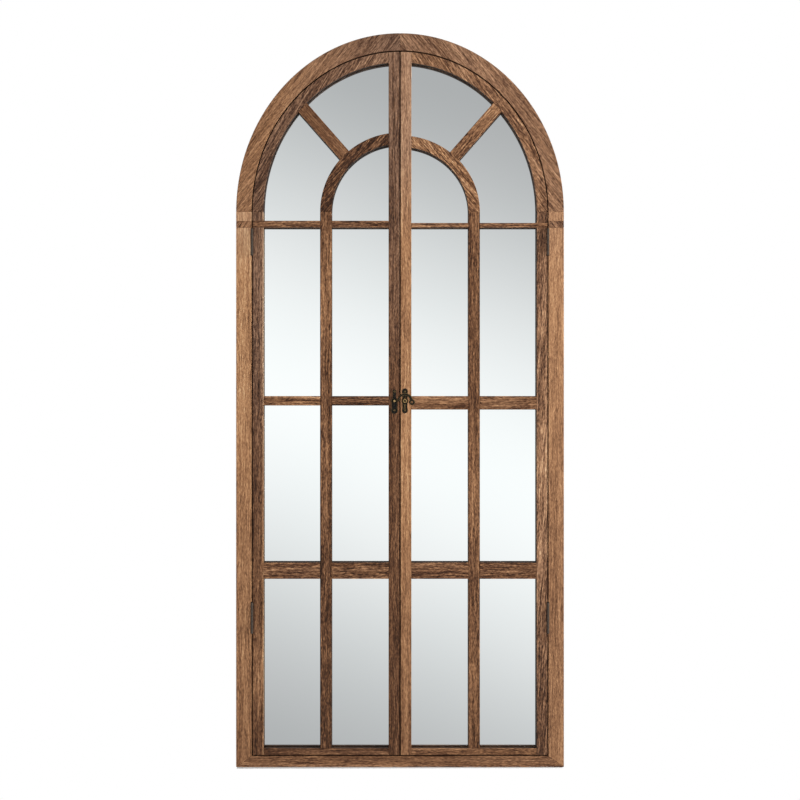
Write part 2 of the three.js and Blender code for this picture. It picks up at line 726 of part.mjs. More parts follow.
function buildLatch() {
  const latch = new THREE.Group();
  latch.add(
    piece("keeper_plate", latchPlate(keeperX, keeperPostRadius, keeperPlate), agedBrass),
    piece("keeper_catch", keeperCatch(), agedBrass),
    piece("hook_plate", latchPlate(pivotX, pivotRadius, hookPlate).add(raisedLoop()), agedBrass),
    piece("hook_pivot", post(pivotX, pivotRadius, pivotHeadRadius, pivotHeadHeight), agedBrass),
    piece("latch_hook", latchHook(), agedBrass),
  );
  for (const [name, x] of [["keeper", keeperX], ["hook", pivotX]]) {
    latchScrewHeights.forEach((z, i) => {
      const shape = screw(plateScrewHeadRadius, plateScrewHeadHeight, plateScrewRadius, plateScrewLength);
      const place = [x, latchPlateFrontY, z];
      const mesh = piece(`${name}_plate_screw_${i + 1}`, shape, agedBrass, place);
      mesh.rotation.x = Math.PI;
      latch.add(mesh);
    });
  }
  return latch;
}

const group = new THREE.Group();
group.add(buildFrame(), buildHangers(), buildLeaf(leftLeaf), buildLeaf(rightLeaf));
group.add(buildHinges(-1), buildHinges(1), buildLatch());

export default group;
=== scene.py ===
# Arched full length mirror, dressed for rendering: timber, glass, hinges, latch and a plain studio.
import math
from functools import partial

import bmesh
import bpy
import numpy as np
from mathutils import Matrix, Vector


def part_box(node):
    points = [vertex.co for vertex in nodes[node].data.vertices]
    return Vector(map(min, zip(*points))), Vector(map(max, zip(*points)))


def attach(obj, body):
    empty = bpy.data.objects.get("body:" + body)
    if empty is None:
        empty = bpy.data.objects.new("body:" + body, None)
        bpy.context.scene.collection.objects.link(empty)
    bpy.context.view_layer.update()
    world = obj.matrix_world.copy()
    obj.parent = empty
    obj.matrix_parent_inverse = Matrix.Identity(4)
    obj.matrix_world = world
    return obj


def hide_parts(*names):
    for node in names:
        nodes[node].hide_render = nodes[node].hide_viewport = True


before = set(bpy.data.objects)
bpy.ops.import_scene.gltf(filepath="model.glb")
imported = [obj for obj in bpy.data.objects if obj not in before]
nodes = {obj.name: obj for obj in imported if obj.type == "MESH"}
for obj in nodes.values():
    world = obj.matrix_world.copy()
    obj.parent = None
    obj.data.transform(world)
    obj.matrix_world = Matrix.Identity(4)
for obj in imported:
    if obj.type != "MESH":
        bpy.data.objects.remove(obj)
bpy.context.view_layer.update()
mm = 0.001
print("frame loaded:", len(nodes), "nodes")


# Small tools

def linearColour(hexText):
    # sRGB to linear: c / 12.92 up to 0.04045, else ((c + 0.055) / 1.055) to the power 2.4
    values = [int(hexText[i:i + 2], 16) / 255 for i in (1, 3, 5)]
    return [v / 12.92 if v <= 0.04045 else ((v + 0.055) / 1.055) ** 2.4 for v in values] + [1.0]


def addNode(tree, kind, *values, stops=(), **settings):
    # adds one shader node, sets its own settings, gives its inputs values or links, either in turn or by a
    # dictionary of their names (a node stands for its first output), and fills a colour ramp with its stops
    # (position, hex colour); in turn, a map range's inputs are the value, from, from, to and to
    node = tree.nodes.new("ShaderNode" + kind)
    for key, value in settings.items():
        setattr(node, key, value)
    inputs = values[0] if values and isinstance(values[0], dict) else dict(enumerate(values))
    for key, value in inputs.items():
        source = value.outputs[0] if isinstance(value, bpy.types.Node) else value
        if isinstance(source, bpy.types.NodeSocket):
            tree.links.new(source, node.inputs[key])
        else:
            node.inputs[key].default_value = source
    for i, (position, colour) in enumerate(stops):
        element = node.color_ramp.elements[i] if i < 2 else node.color_ramp.elements.new(position)
        element.position = position
        element.color = linearColour(colour)
    return node


def emptyNodes(owner):
    # clears the nodes of a material or a world, and gives the function that adds one to it
    owner.use_nodes = True
    owner.node_tree.nodes.clear()
    return partial(addNode, owner.node_tree)


def newMaterial(name):
    material = bpy.data.materials.new(name)
    return material, emptyNodes(material)


def finishMaterial(material, shader):
    addNode(material.node_tree, "OutputMaterial", shader)
    return material


def newObject(name, data):
    thing = bpy.data.objects.new(name, data)
    bpy.context.scene.collection.objects.link(thing)
    return thing


def low(node, axis):
    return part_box(node)[0][axis]


def high(node, axis):
    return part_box(node)[1][axis]


def span(node, axis):
    return low(node, axis), high(node, axis)


def middle(node, axis):
    return sum(span(node, axis)) / 2


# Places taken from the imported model, in metres

outerHalf = high("bottom_rail", 0)
springing = low("left_arch_piece", 2)
archRise = high("left_arch_piece", 2) - springing
frontY, backY = span("bottom_rail", 1)
lipFrontY, lipBackY = span("centre_stop", 1)
leafBackY = high("right_muntin", 1)
leafMiddleY = (frontY + leafBackY) / 2
daylightHalf = low("right_springing_key", 0)
leafInner, paneInner = span("right_meeting_stile", 0)
paneOuter, leafOuter = span("right_hinge_stile", 0)
leafBottom = low("right_hinge_stile", 2)
leafBottomRailTop = high("right_leaf_bottom_rail", 2)
muntinFrom, muntinTo = span("right_muntin", 0)
keyBottom, keyTop = span("right_springing_key", 2)
keyMiddle = (keyBottom + keyTop) / 2


# Timber: closed sections carried along a path

timberLook = dict(
    bevel=1 * mm,  # eased edge
    bevelSteps=2,
    archSteps=72,
    toneStep=55 * mm,  # longest run between two stations, so that the tone can change along a piece
    seedShift=(3, 9),  # each piece's grain comes from its own place in the tree, this far off
    cutShift=1.7,  # and another board's from this much further
    marks=dict(  # each mark's length and width, its share in the tone, and its noise's detail and distortion
        band=(420 * mm, 12 * mm, 0.5, 2.0, 0.3),  # broad stripes of darker heartwood
        stroke=(120 * mm, 4 * mm, 0.7, 2.0, 0.3),  # growth rings
        fibre=(44 * mm, 1.9 * mm, 0.95, 2.0, 0.1),  # really under 1 mm wide, drawn wide enough to show
        fleck=(8 * mm, 2.2 * mm, 0.85, 1.0, 0.2),  # the short flecks of the rays
        pore=(16 * mm, 1.5 * mm, 0, 1.0, 0.0),  # really 0.3 mm wide, drawn wide enough to show
    ),
    poreFrom=0.56,  # the noise level at which a pore's dash starts, and the one at which it is full
    poreTo=0.68,
    wander=7 * mm,  # how far the grain strays sideways
    wanderLength=160 * mm,
    wanderWidth=50 * mm,
    ashFrom=0.35,  # the band's noise level at which it starts to be greyer, and the one at which it is fully
    ashTo=0.62,
    ashSaturation=0.35,
    # painted shade: colour, strength and depth range of the darkening behind the face inside the opening,
    # standing for the shaded reveals and their dark reflection in the mirror
    paintedShadeHex="#170e08",
    paintedShadeShare=0.8,
    backPaintedShadeShare=0.15,  # on faces turned to the back
    paintedShadeFrom=1.2 * mm,  # behind the frame's face
    paintedShadeTo=4.5 * mm,
    turned=(0.5, 0.9),  # how far to the back a face is turned where the back's share starts and is full
    fibreRange=(0.3, 0.7),  # the fibres' noise levels where the wood is roughest and smoothest
    rougher=0.08,
    smoother=0.06,
    sheen=0.3,
    ridgeHeight=0.35 * mm,
    ridgeStrength=0.6,
    stops=[(0.0, "#24150d"), (0.15, "#3b2518"), (0.3, "#5a3b28"), (0.45, "#7d583d"), (0.6, "#9d7250"),
           (0.75, "#b98a62"), (0.9, "#cfa67b"), (1.0, "#deb98f")],
)


def mangoWood(name, poreHex, poreShare, ashShare, roughness):
    # sawn, brushed and oiled mango wood: the saw opens the pores into short dark dashes along the grain, the
    # brush raises the hard rings, and the oil leaves a dull sheen; the grain runs along the first number of
    # the piece's own grain attribute; some bands are greyer, as is the wood where its ash attribute is high,
    # and behind the face, in the openings, painted shade darkens it by its own attribute, standing for the
    # shaded reveals and their dark reflection in the mirror, less on faces turned to the back
    look = timberLook
    material, add = newMaterial(name)
    grain = add("Attribute", attribute_name="grain").outputs["Vector"]
    tone, figure, ownAsh, inside = (add("Attribute", attribute_name=word).outputs["Fac"]
                                    for word in ("tone", "figure", "ash", "paintedShade"))
    slow = (1 / look["wanderLength"], 1 / look["wanderWidth"], 1 / look["wanderWidth"])
    place = add("VectorMath", grain, slow, operation="MULTIPLY")
    stray = add("TexNoise", {"Vector": place, "Scale": 1.0, "Detail": 2.0})
    spread = add("MapRange", stray, 0, 1, -look["wander"], look["wander"])
    wavy = add("VectorMath", grain, add("CombineXYZ", 0, spread, spread), operation="ADD")
    marks = {}
    total = None
    for mark, (along, across, amount, detail, distortion) in look["marks"].items():
        place = add("VectorMath", wavy, (1 / along, 1 / across, 1 / across), operation="MULTIPLY")
        marks[mark] = add("TexNoise", {
            "Vector": place, "Scale": 1.0, "Detail": detail, "Distortion": distortion})
        if amount:
            swing = add("MapRange", marks[mark], 0, 1, -amount / 2, amount / 2, clamp=False)
            total = swing if total is None else add("Math", total, swing)
    value = add("Math", total, figure, tone, operation="MULTIPLY_ADD")
    colour = add("ValToRGB", value, stops=look["stops"])
    ashBand = add("MapRange", marks["band"], look["ashFrom"], look["ashTo"], 0, ashShare)
    ash = add("Math", ashBand, ownAsh)
    greyer = add("HueSaturation", {"Color": colour, "Saturation": look["ashSaturation"], "Fac": ash})
    dashes = add("MapRange", marks["pore"], look["poreFrom"], look["poreTo"], 0, poreShare)
    grained = add("Mix", {"Factor": dashes, 6: greyer, 7: linearColour(poreHex)}, data_type="RGBA")
    coordinates = add("TexCoord")
    space = add("SeparateXYZ", coordinates.outputs["Object"])
    facing = add("SeparateXYZ", coordinates.outputs["Normal"])
    # painted shade behind the face in the openings, for the shaded reveals and their reflection, weaker on
    # faces turned to the back
    backShare = add("MapRange", facing.outputs["Y"], *look["turned"], look["paintedShadeShare"],
                    look["backPaintedShadeShare"])
    behind = add("MapRange", space.outputs["Y"], frontY + look["paintedShadeFrom"], frontY + look["paintedShadeTo"], 0,
                 backShare)
    paintedShade = add("Math", inside, behind, operation="MULTIPLY")
    paintedShadeColour = linearColour(look["paintedShadeHex"])
    mixed = add("Mix", {"Factor": paintedShade, 6: grained.outputs[2], 7: paintedShadeColour}, data_type="RGBA")
    rough = add("MapRange", marks["fibre"], *look["fibreRange"], roughness + look["rougher"],
                roughness - look["smoother"])
    height = add("Math", add("Math", marks["fibre"], marks["stroke"]), dashes, operation="SUBTRACT")
    bump = add("Bump", {
        "Height": height, "Strength": look["ridgeStrength"], "Distance": look["ridgeHeight"]})
    return finishMaterial(material, add("BsdfPrincipled", {
        "Base Color": mixed.outputs[2], "Roughness": rough, "Normal": bump,
        "Specular IOR Level": look["sheen"]}))


woods = dict(
    light_wood=mangoWood("lightMangoWood", "#7a523a", 0.35, 0.02, 0.6),
    middle_wood=mangoWood("middleMangoWood", "#3a2417", 0.35, 0.05, 0.62),
    dark_wood=mangoWood("darkMangoWood", "#9c6e4a", 0.3, 0.03, 0.62),
)


def carriedShell(sections, closed=False, wear=0.0):
    # sections is stations x points x 3: neighbouring points of neighbouring stations are joined by quads; an
    # open run is capped at both ends and a closed one comes back to its first station
    sections = np.asarray(sections, float)
    stations, count = sections.shape[:2]
    index = np.arange(stations * count).reshape(stations, count)
    near, far = (index, np.roll(index, -1, 0)) if closed else (index[:-1], index[1:])
    quads = np.stack([near, np.roll(near, -1, 1), np.roll(far, -1, 1), far], axis=-1).reshape(-1, 4)
    caps = index[:0] if closed else np.stack([index[0][::-1], index[-1]])
    return sections.reshape(-1, 3), quads, caps, np.broadcast_to(wear, (stations, count)).ravel()


def shellMesh(name, shells):
    # one mesh of closed shells
    faces, start = [], 0
    for points, quads, caps, wear in shells:
        faces += (quads + start).tolist() + (caps + start).tolist()
        start += len(points)
    mesh = bpy.data.meshes.new(name)
    mesh.from_pydata(np.concatenate([shell[0] for shell in shells]), [], faces)
    setNumbers(mesh, "wear", np.concatenate([shell[3] for shell in shells]))
    tidyMesh(mesh)
    return mesh


def tidyMesh(mesh, distance=1e-6):
    # merges doubles, drops faces with no area, and turns the faces outwards
    work = bmesh.new()
    work.from_mesh(mesh)
    bmesh.ops.remove_doubles(work, verts=work.verts, dist=distance)
    bmesh.ops.dissolve_degenerate(work, edges=work.edges, dist=distance)
    bmesh.ops.recalc_face_normals(work, faces=work.faces)
    work.to_mesh(mesh)
    work.free()
    mesh.polygons.foreach_set("use_smooth", np.ones(len(mesh.polygons), bool))


def meshPoints(mesh):
    points = np.empty(len(mesh.vertices) * 3, np.float32)
    mesh.vertices.foreach_get("co", points)
    return points.reshape(-1, 3).astype(float)


def setNumbers(mesh, name, values):
    attribute = mesh.attributes.new(name, "FLOAT", "POINT")
    attribute.data.foreach_set("value", np.broadcast_to(values, len(mesh.vertices)).astype(np.float32))


def newPiece(name, mesh, body, material, replaced=()):
    piece = newObject(name, mesh)
    mesh.materials.append(material)
    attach(piece, body)
    if replaced:
        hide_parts(*replaced)
    return piece


def easeEdges(piece, width, steps, angle=35):
    modifier = piece.modifiers.new("easedEdges", "BEVEL")
    modifier.width = width
    modifier.segments = steps
    modifier.limit_method = "ANGLE"
    modifier.angle_limit = math.radians(angle)
    modifier.harden_normals = True
    modifier.use_clamp_overlap = True
    return piece


def moreStations(sections, step):
    # puts evenly spaced stations between two that lie further apart than the step
    sections = np.asarray(sections, float)
    rows = [sections[:1]]
    for first, last in zip(sections[:-1], sections[1:]):
        count = max(1, math.ceil(np.abs(last - first).max() / step))
        share = (np.arange(1, count + 1) / count)[:, None, None]
        rows.append(first + (last - first) * share)
    return np.concatenate(rows)


noAsh = {0: 0}
lying = dict(angle=0, axis=0)  # the grain and the tones run along X


def setGrain(mesh, seed, tones, figure=1, angle=90, axis=2, cut=None, paintedShade=1, ash=noAsh, paintedHighlight=0, near=1.001):
    # grain = distances along and across the grain in the plane of the frame, and the depth, all moved by
    # the piece's own seed; angle is the grain's, from the X axis; tones and ash are values at places along
    # an axis, straight between, and past the cut the grain is another board's; figure is how strong the
    # marks are; a painted highlight lightens the stile's inner edge, for the side light that it catches;
    # painted shade, standing for the shaded reveals, counts inside the frame's opening, the ellipse
    # (x / half)^2 + (z / rise)^2 = 1 over two uprights, and near lets the points on those lines count too
    points = meshPoints(mesh)
    along = np.array([math.cos(math.radians(angle)), 0, math.sin(math.radians(angle))])
    across = np.array([-along[2], 0, along[0]])
    grain = np.stack([points @ along, points @ across, points[:, 1]], axis=1)
    grain += np.random.default_rng(seed).uniform(*timberLook["seedShift"], 3)
    if cut is not None:
        grain[points[:, axis] > cut] += timberLook["cutShift"]
    attribute = mesh.attributes.new("grain", "FLOAT_VECTOR", "POINT")
    attribute.data.foreach_set("vector", grain.astype(np.float32).ravel())
    x, z = np.abs(points[:, 0]), points[:, 2]
    tone, ownAsh = (np.interp(points[:, axis], list(run), list(run.values())) for run in (tones, ash))
    # a painted highlight for the side light on the stile's inner edge
    setNumbers(mesh, "tone", tone + paintedHighlight * (x < paneOuter * near))
    setNumbers(mesh, "ash", ownAsh)
    setNumbers(mesh, "figure", figure)
    rounded = (x / daylightHalf) ** 2 + (np.maximum(z - springing, 0) / daylightRise) ** 2
    inside = (x < daylightHalf * near) & (rounded < near) & (z > frameShape["bottomRailHeight"] / near)
    # painted shade inside the opening, for the shaded reveals, stronger on the leaves' back half
    setNumbers(mesh, "paintedShade", inside * np.where(points[:, 1] > leafMiddleY, (1 + paintedShade) / 2, paintedShade))


def timber(name, body, node, slotName, sections, grain):
    mesh = shellMesh(name, [carriedShell(moreStations(sections, timberLook["toneStep"]))])
    setGrain(mesh, **grain)
    piece = newPiece(name, mesh, body, woods[slotName], [node])
    return easeEdges(piece, timberLook["bevel"], timberLook["bevelSteps"])


def uprightSections(profiles):
    # profiles are (height or heights, [(x, y), ...]): one closed section per height
    return [np.column_stack([np.asarray(p, float), np.broadcast_to(z, len(p))]) for z, p in profiles]


def lyingSections(profiles):
    # profiles are (x, [(y, z), ...]): one closed section per distance from the middle
    return [np.column_stack([np.full(len(p), x), np.asarray(p, float)]) for x, p in profiles]


def archSections(points, edgeX, side):
    # each point (half width, rise, y) of the section is carried up a quarter of its own ellipse about the
    # springing line, x = half width * cos(a) and z = springing + rise * sin(a), and ends at x = edgeX
    half, rise, depth = np.array(points, float).T
    share = np.linspace(0, 1, timberLook["archSteps"] + 1)[:, None]
    angle = np.arccos(edgeX / half)[None, :] * share
    x = side * half * np.cos(angle)
    z = springing + rise * np.sin(angle)
    return np.stack([x, np.broadcast_to(depth, x.shape), z], axis=-1)


def boxSections(side, x, y, z):
    corners = [(y[0], z[0]), (y[0], z[1]), (y[1], z[1]), (y[1], z[0])]
    return lyingSections([(side * x[0], corners), (side * x[1], corners)])


# Fixed frame

frameShape = dict(
    bottomRailHeight=27 * mm,
    crownWidth=42.5 * mm,
    lipReach=9 * mm,
    rebateWidth=10 * mm,
    seatDepth=14.3 * mm,  # of the hinges' seats, from the front
    seatCut=1.9 * mm,
    seatMargin=0.3 * mm,  # from a hinge plate's ends to the ends of its seat
    keyPocket=10 * mm,
    paintedHighlightWidth=2.6 * mm,  # of the strip of painted highlight along the left hinge stile's inner edge, for the side light that it catches
)
daylightRise = archRise - frameShape["crownWidth"]


def jambProfile(side, front=frontY, cut=0):
    # the jamb's section seen from above: front, daylight face with its hinge seat, stop lip and rebate
    s = frameShape
    inner = daylightHalf
    step = max(frontY + s["seatDepth"], front)
    points = [(outerHalf, front), (inner + cut, front), (inner + cut, step), (inner, step),
              (inner, lipFrontY), (inner - s["lipReach"], lipFrontY), (inner - s["lipReach"], lipBackY),
              (inner + s["rebateWidth"], lipBackY), (inner + s["rebateWidth"], backY), (outerHalf, backY)]
    return [(side * x, y) for x, y in points]


def seatRows(whole, seated):
    # the section changes to that of the seat just below each hinge plate, and back just above it
    rows = []
    for plate in ("right_lower_frame_hinge_plate", "right_upper_frame_hinge_plate"):
        bottom, top = low(plate, 2) - frameShape["seatMargin"], high(plate, 2) + frameShape["seatMargin"]
        rows += [(bottom, whole), (bottom, seated), (top, seated), (top, whole)]
    return rows


def jambSections(side):
    s = frameShape
    whole = jambProfile(side)
    pocket = jambProfile(side, front=frontY + s["keyPocket"])
    slope = s["bottomRailHeight"] / (outerHalf - daylightHalf)
    rows = [([slope * (outerHalf - abs(x)) for x, _ in whole], whole)]
    rows += seatRows(whole, jambProfile(side, cut=s["seatCut"]))
    rows += [(keyBottom, whole), (keyBottom, pocket), (keyTop, pocket), (keyTop, whole), (springing, whole)]
    return uprightSections(rows)


def bottomRailSections():
    s = frameShape
    rail, lip = s["bottomRailHeight"], s["bottomRailHeight"] + s["lipReach"]
    profile = [(frontY, 0), (frontY, rail), (lipFrontY, rail), (lipFrontY, lip), (lipBackY, lip),
               (lipBackY, rail - s["rebateWidth"]), (backY, rail - s["rebateWidth"]), (backY, 0)]
    ends = np.array([outerHalf - (outerHalf - daylightHalf) * z / rail for _, z in profile])
    section = np.array(profile)
    return [np.column_stack([side * ends, section]) for side in (-1, 1)]


def archPieceSections(side):
    # the inner points stand off the opening's ellipse by a reach, inwards for the lip
    s = frameShape
    reach = [(0, frontY), (0, lipFrontY), (s["lipReach"], lipFrontY), (s["lipReach"], lipBackY),
             (-s["rebateWidth"], lipBackY), (-s["rebateWidth"], backY)]
    inner = [(daylightHalf - r, daylightRise - r, y) for r, y in reach]
    return archSections([(outerHalf, archRise, frontY), *inner, (outerHalf, archRise, backY)], 0, side)


frameGrain = dict(
    left=dict(
        jamb=dict(
            seed=10, figure=0.75, cut=keyMiddle, ash={1.2: 0, 1.34: 0.1},
            tones={0: 0.49, 0.35: 0.55, 0.62: 0.58, 0.78: 0.67, 1.05: 0.64, 1.2: 0.705, keyTop: 0.71}),
        arch=dict(
            angle=52, seed=20, figure=0.75, axis=0, ash={-0.3: 0, 0: 0.2},
            tones={-0.4: 0.52, -0.2: 0.5, 0: 0.37}),
        key=dict(angle=52, seed=30, figure=0.8, tones={0: 0.405}, ash={0: 0.03})),
    right=dict(
        jamb=dict(
            seed=12, figure=0.66, cut=keyMiddle, ash={1.2: 0.02, 1.34: 0.08},
            tones={0: 0.57, 0.22: 0.525, 0.4: 0.495, 0.7: 0.555, 1.1: 0.63, keyBottom: 0.615, keyTop: 0.64}),
        arch=dict(
            angle=-52, seed=22, figure=0.8, axis=0, ash={0: 0.12, 0.4: 0.08},
            tones={0: 0.42, 0.2: 0.5, 0.4: 0.45}),
        key=dict(angle=-52, seed=32, figure=0.9, tones={0: 0.315}, ash={0: 0.1})),
    bottom=dict(lying, seed=41, figure=0.8, tones={-0.4: 0.44, 0.4: 0.405}),
    stop=dict(seed=42, figure=0.5, tones={0.9: 0.3, 0.95: 0.05}),
)
keyDepth = (frontY, frontY + frameShape["keyPocket"])
for word, side in (("left", -1), ("right", 1)):
    grains = frameGrain[word]
    timber(word + "JambTimber", "frame", word + "_jamb", "light_wood", jambSections(side), grains["jamb"])
    timber(word + "ArchTimber", "frame", word + "_arch_piece", "middle_wood", archPieceSections(side),
           grains["arch"])
    timber(word + "SpringingKey", "frame", word + "_springing_key", "dark_wood",
           boxSections(side, (daylightHalf, outerHalf), keyDepth, (keyBottom, keyTop)), grains["key"])
timber("bottomRailTimber", "frame", "bottom_rail", "middle_wood", bottomRailSections(), frameGrain["bottom"])
stopBox = [span("centre_stop", axis) for axis in range(3)]
timber("centreStopStrip", "frame", "centre_stop", "dark_wood", boxSections(1, *stopBox), frameGrain["stop"])
print("frame timber built")


# Lattice leaves

leafShape = dict(
    crownGap=3 * mm,
    archRailWidth=26.3 * mm,  # at the crown
    barHalf=15 * mm,  # half the radial bar's width
    barAngle=48.7,
    barDrop=16 * mm,  # its middle line meets the middle plane this far below the springing line
    barColumns=13,
    barRows=5,
    stileColumns=9,
    stileRows=30,
)
leafRise = daylightRise - leafShape["crownGap"]


def hingeStileSections(side, railZ):
    # the stile is cut away at its outer edge for the hinge plates and in front for the springing rail
    s = frameShape

    def profile(front=frontY, cut=0):
        step = max(frontY + s["seatDepth"], front)
        # the point near the inner edge bounds the strip of painted highlight
        points = [(paneOuter, front), (paneOuter + s["paintedHighlightWidth"], front), (leafOuter - cut, front),
                  (leafOuter - cut, step), (leafOuter, step), (leafOuter, leafBackY), (paneOuter, leafBackY)]
        return [(side * x, y) for x, y in points]

    whole, thin = profile(), profile(front=leafMiddleY)
    rows = [(leafBottom, whole)] + seatRows(whole, profile(cut=s["seatCut"]))
    rows += [(railZ[0], whole), (railZ[0], thin), (railZ[1], thin), (railZ[1], whole), (springing, whole)]
    return uprightSections(rows)


def slabSection(x, z):
    # the points (x, z) on the leaf's face, and the same in turn on its back
    front, back = (np.column_stack([x, np.full(len(x), y), z]) for y in (frontY, leafBackY))
    return np.concatenate([front, back[::-1]])


def meetingStileSections(side):
    # the stile's top follows the leaf's own ellipse, z = springing + rise * sqrt(1 - (x / half)^2); sections
    # stand at heights, the last ones sloping
    x = np.linspace(leafInner, paneInner, leafShape["stileColumns"])
    top = springing + leafRise * np.sqrt(1 - (x / leafOuter) ** 2)
    shares = np.linspace(0, 1, leafShape["stileRows"])
    return [slabSection(side * x, leafBottom + (top - leafBottom) * share) for share in shares]


def muntinSections(side, rails):
    # halved behind where the rails cross
    def profile(back):
        corners = ((muntinFrom, frontY), (muntinTo, frontY), (muntinTo, back), (muntinFrom, back))
        return [(side * x, y) for x, y in corners]

    whole, thin = profile(leafBackY), profile(leafMiddleY)
    rows = [(leafBottomRailTop, whole)]
    for bottom, top in sorted(rails):
        rows += [(bottom, whole), (bottom, thin), (top, thin), (top, whole)]
    return uprightSections(rows + [(springing, whole)])


def railSections(side, z, overStile=False):
    # halved in front where the muntin crosses; the springing rail runs on over the hinge stile
    def profile(front, back):
        return [(front, z[0]), (front, z[1]), (back, z[1]), (back, z[0])]

    whole, behind = profile(frontY, leafBackY), profile(leafMiddleY, leafBackY)
    rows = [(paneInner, whole), (muntinFrom, whole), (muntinFrom, behind), (muntinTo, behind),
            (muntinTo, whole), (paneOuter, whole)]
    if overStile:
        rows += [(x, profile(frontY, leafMiddleY)) for x in (paneOuter, leafOuter)]
    return lyingSections([(side * x, p) for x, p in rows])


def bandSections(side, outer, inner):
    points = [(*outer, frontY), (*inner, frontY), (*inner, leafBackY), (*outer, leafBackY)]
    return archSections(points, paneInner, side)


def radialBarSections(side, smallRise):
    # lines parallel to the bar's middle line, each cut off by the small arch and by the arch rail:
    # |p + s d| on an ellipse is a quadratic in s, solved for all lines at once
    shape = leafShape
    turn = math.radians(shape["barAngle"])
    d = np.array([math.cos(turn), math.sin(turn)])
    u = np.linspace(-shape["barHalf"], shape["barHalf"], shape["barColumns"])
    start = np.array([0, -shape["barDrop"]]) + u[:, None] * np.array([-d[1], d[0]])

    def reach(half, rise):
        a = (d[0] / half) ** 2 + (d[1] / rise) ** 2
        b = 2 * (start[:, 0] * d[0] / half ** 2 + start[:, 1] * d[1] / rise ** 2)
        c = (start[:, 0] / half) ** 2 + (start[:, 1] / rise) ** 2 - 1
        return (-b + np.sqrt(b ** 2 - 4 * a * c)) / (2 * a)

    near = start + reach(muntinTo, smallRise)[:, None] * d
    far = start + reach(paneOuter, leafRise - shape["archRailWidth"])[:, None] * d
    lines = [near + (far - near) * share for share in np.linspace(0, 1, shape["barRows"])]
    return [slabSection(side * line[:, 0], springing + line[:, 1]) for line in lines]


# where a piece's painted shade, for its shaded reveals and their reflection, is weaker, its grain gives the
# share
leafGrain = dict(
    left=dict(
        hinge_stile=dict(
            # the inner edge takes a painted highlight for the side light that it catches
            seed=60, figure=0.82, paintedHighlight=0.5, ash={0.5: 0, 0.8: 0.08, 1: 0.21},
            tones={0.08: 0.21, 0.2: 0.45, 0.31: 0.4, 0.39: 0.22, 0.48: 0.38, 0.61: 0.265, 0.8: 0.275,
                   1.25: 0.44, 1.33: 0.38}),
        meeting_stile=dict(
            seed=61, figure=0.75, ash={0.9: 0, 1.1: 0.12, 1.5: 0.21},
            tones={0.1: 0.235, 0.3: 0.238, 0.7: 0.27, 0.95: 0.275, 1.08: 0.345, 1.21: 0.41, 1.36: 0.3,
                   1.55: 0.345, 1.73: 0.42}),
        muntin=dict(
            seed=62, tones={0.06: 0.145, 0.2: 0.2, 0.32: 0.26, 0.46: 0.18, 0.66: 0.35, 0.8: 0.37,
                            0.97: 0.285, 1.17: 0.54, 1.32: 0.33}),
        arch_rail=dict(angle=58, seed=63, figure=0.9, axis=0, tones={-0.36: 0.325, 0: 0.446}, ash={0: 0.15}),
        small_arch=dict(angle=50, seed=64, figure=1.2, tones={springing: 0.205, 1.56: 0.256}),
        radial_bar=dict(angle=-48.7, seed=65, figure=0.6, tones={1.54: 0.41, 1.62: 0.4, 1.66: 0.3}),
        bottom_rail=dict(lying, seed=66, figure=0.8, paintedShade=0.7, tones={-0.33: 0.33, -0.2: 0.34}),
        springing_rail=dict(
            lying, seed=67, cut=-0.18, paintedShade=0.3, tones={-0.19: 0.4, -0.17: 0.325, 0: 0.34}),
        lock_rail=dict(lying, seed=68, figure=1.1, cut=-0.18, tones={-0.2: 0.46, -0.17: 0.295}),
        lower_rail=dict(lying, seed=69, figure=1.1, cut=-0.18, tones={-0.3: 0.345, 0: 0.372})),
    right=dict(
        hinge_stile=dict(
            angle=86, seed=80, figure=1.05, ash={0: 0.1},
            tones={0.1: 0.325, 0.24: 0.31, 0.42: 0.42, 0.54: 0.53, 0.61: 0.415, 0.72: 0.64, 0.83: 0.63,
                   0.91: 0.4, 1.1: 0.46, 1.3: 0.26}),
        meeting_stile=dict(
            seed=81, figure=0.7, ash={1.3: 0, 1.5: 0.18},
            tones={0.1: 0.455, 0.22: 0.53, 0.34: 0.49, 0.5: 0.605, 0.7: 0.655, 0.99: 0.58, 1.3: 0.58,
                   1.58: 0.62, 1.7: 0.6}),
        muntin=dict(
            seed=82, figure=0.9,
            tones={0.06: 0.335, 0.26: 0.44, 0.46: 0.275, 0.6: 0.42, 0.78: 0.395, 0.9: 0.335, 1.02: 0.35,
                   1.2: 0.29, 1.3: 0.305}),
        arch_rail=dict(
            angle=-55, seed=83, figure=1.1, axis=0, ash={0: 0.05},
            tones={0: 0.515, 0.2: 0.452, 0.36: 0.438}),
        small_arch=dict(angle=-50, seed=84, figure=1.3, tones={springing: 0.44, 1.56: 0.5}),
        radial_bar=dict(angle=48.7, seed=85, figure=1.1, tones={1.52: 0.45, 1.63: 0.47}),
        bottom_rail=dict(lying, seed=86, paintedShade=0.7, tones={0: 0.45, 0.33: 0.46}),
        springing_rail=dict(
            lying, seed=87, cut=0.18, paintedShade=0.3,
            tones={0: 0.44, 0.17: 0.42, 0.2: 0.31, 0.33: 0.4, 0.35: 0.48}),
        lock_rail=dict(
            lying, seed=88, figure=0.9, cut=0.18, paintedShade=0.3,
            tones={0: 0.465, 0.16: 0.46, 0.2: 0.37, 0.33: 0.37}),
        lower_rail=dict(lying, seed=89, cut=0.18, tones={0: 0.343, 0.33: 0.368})),
)
leafSlots = dict(hinge_stile="dark_wood", muntin="dark_wood", left_meeting_stile="dark_wood",
                 right_meeting_stile="light_wood")  # the rest are of the middle wood


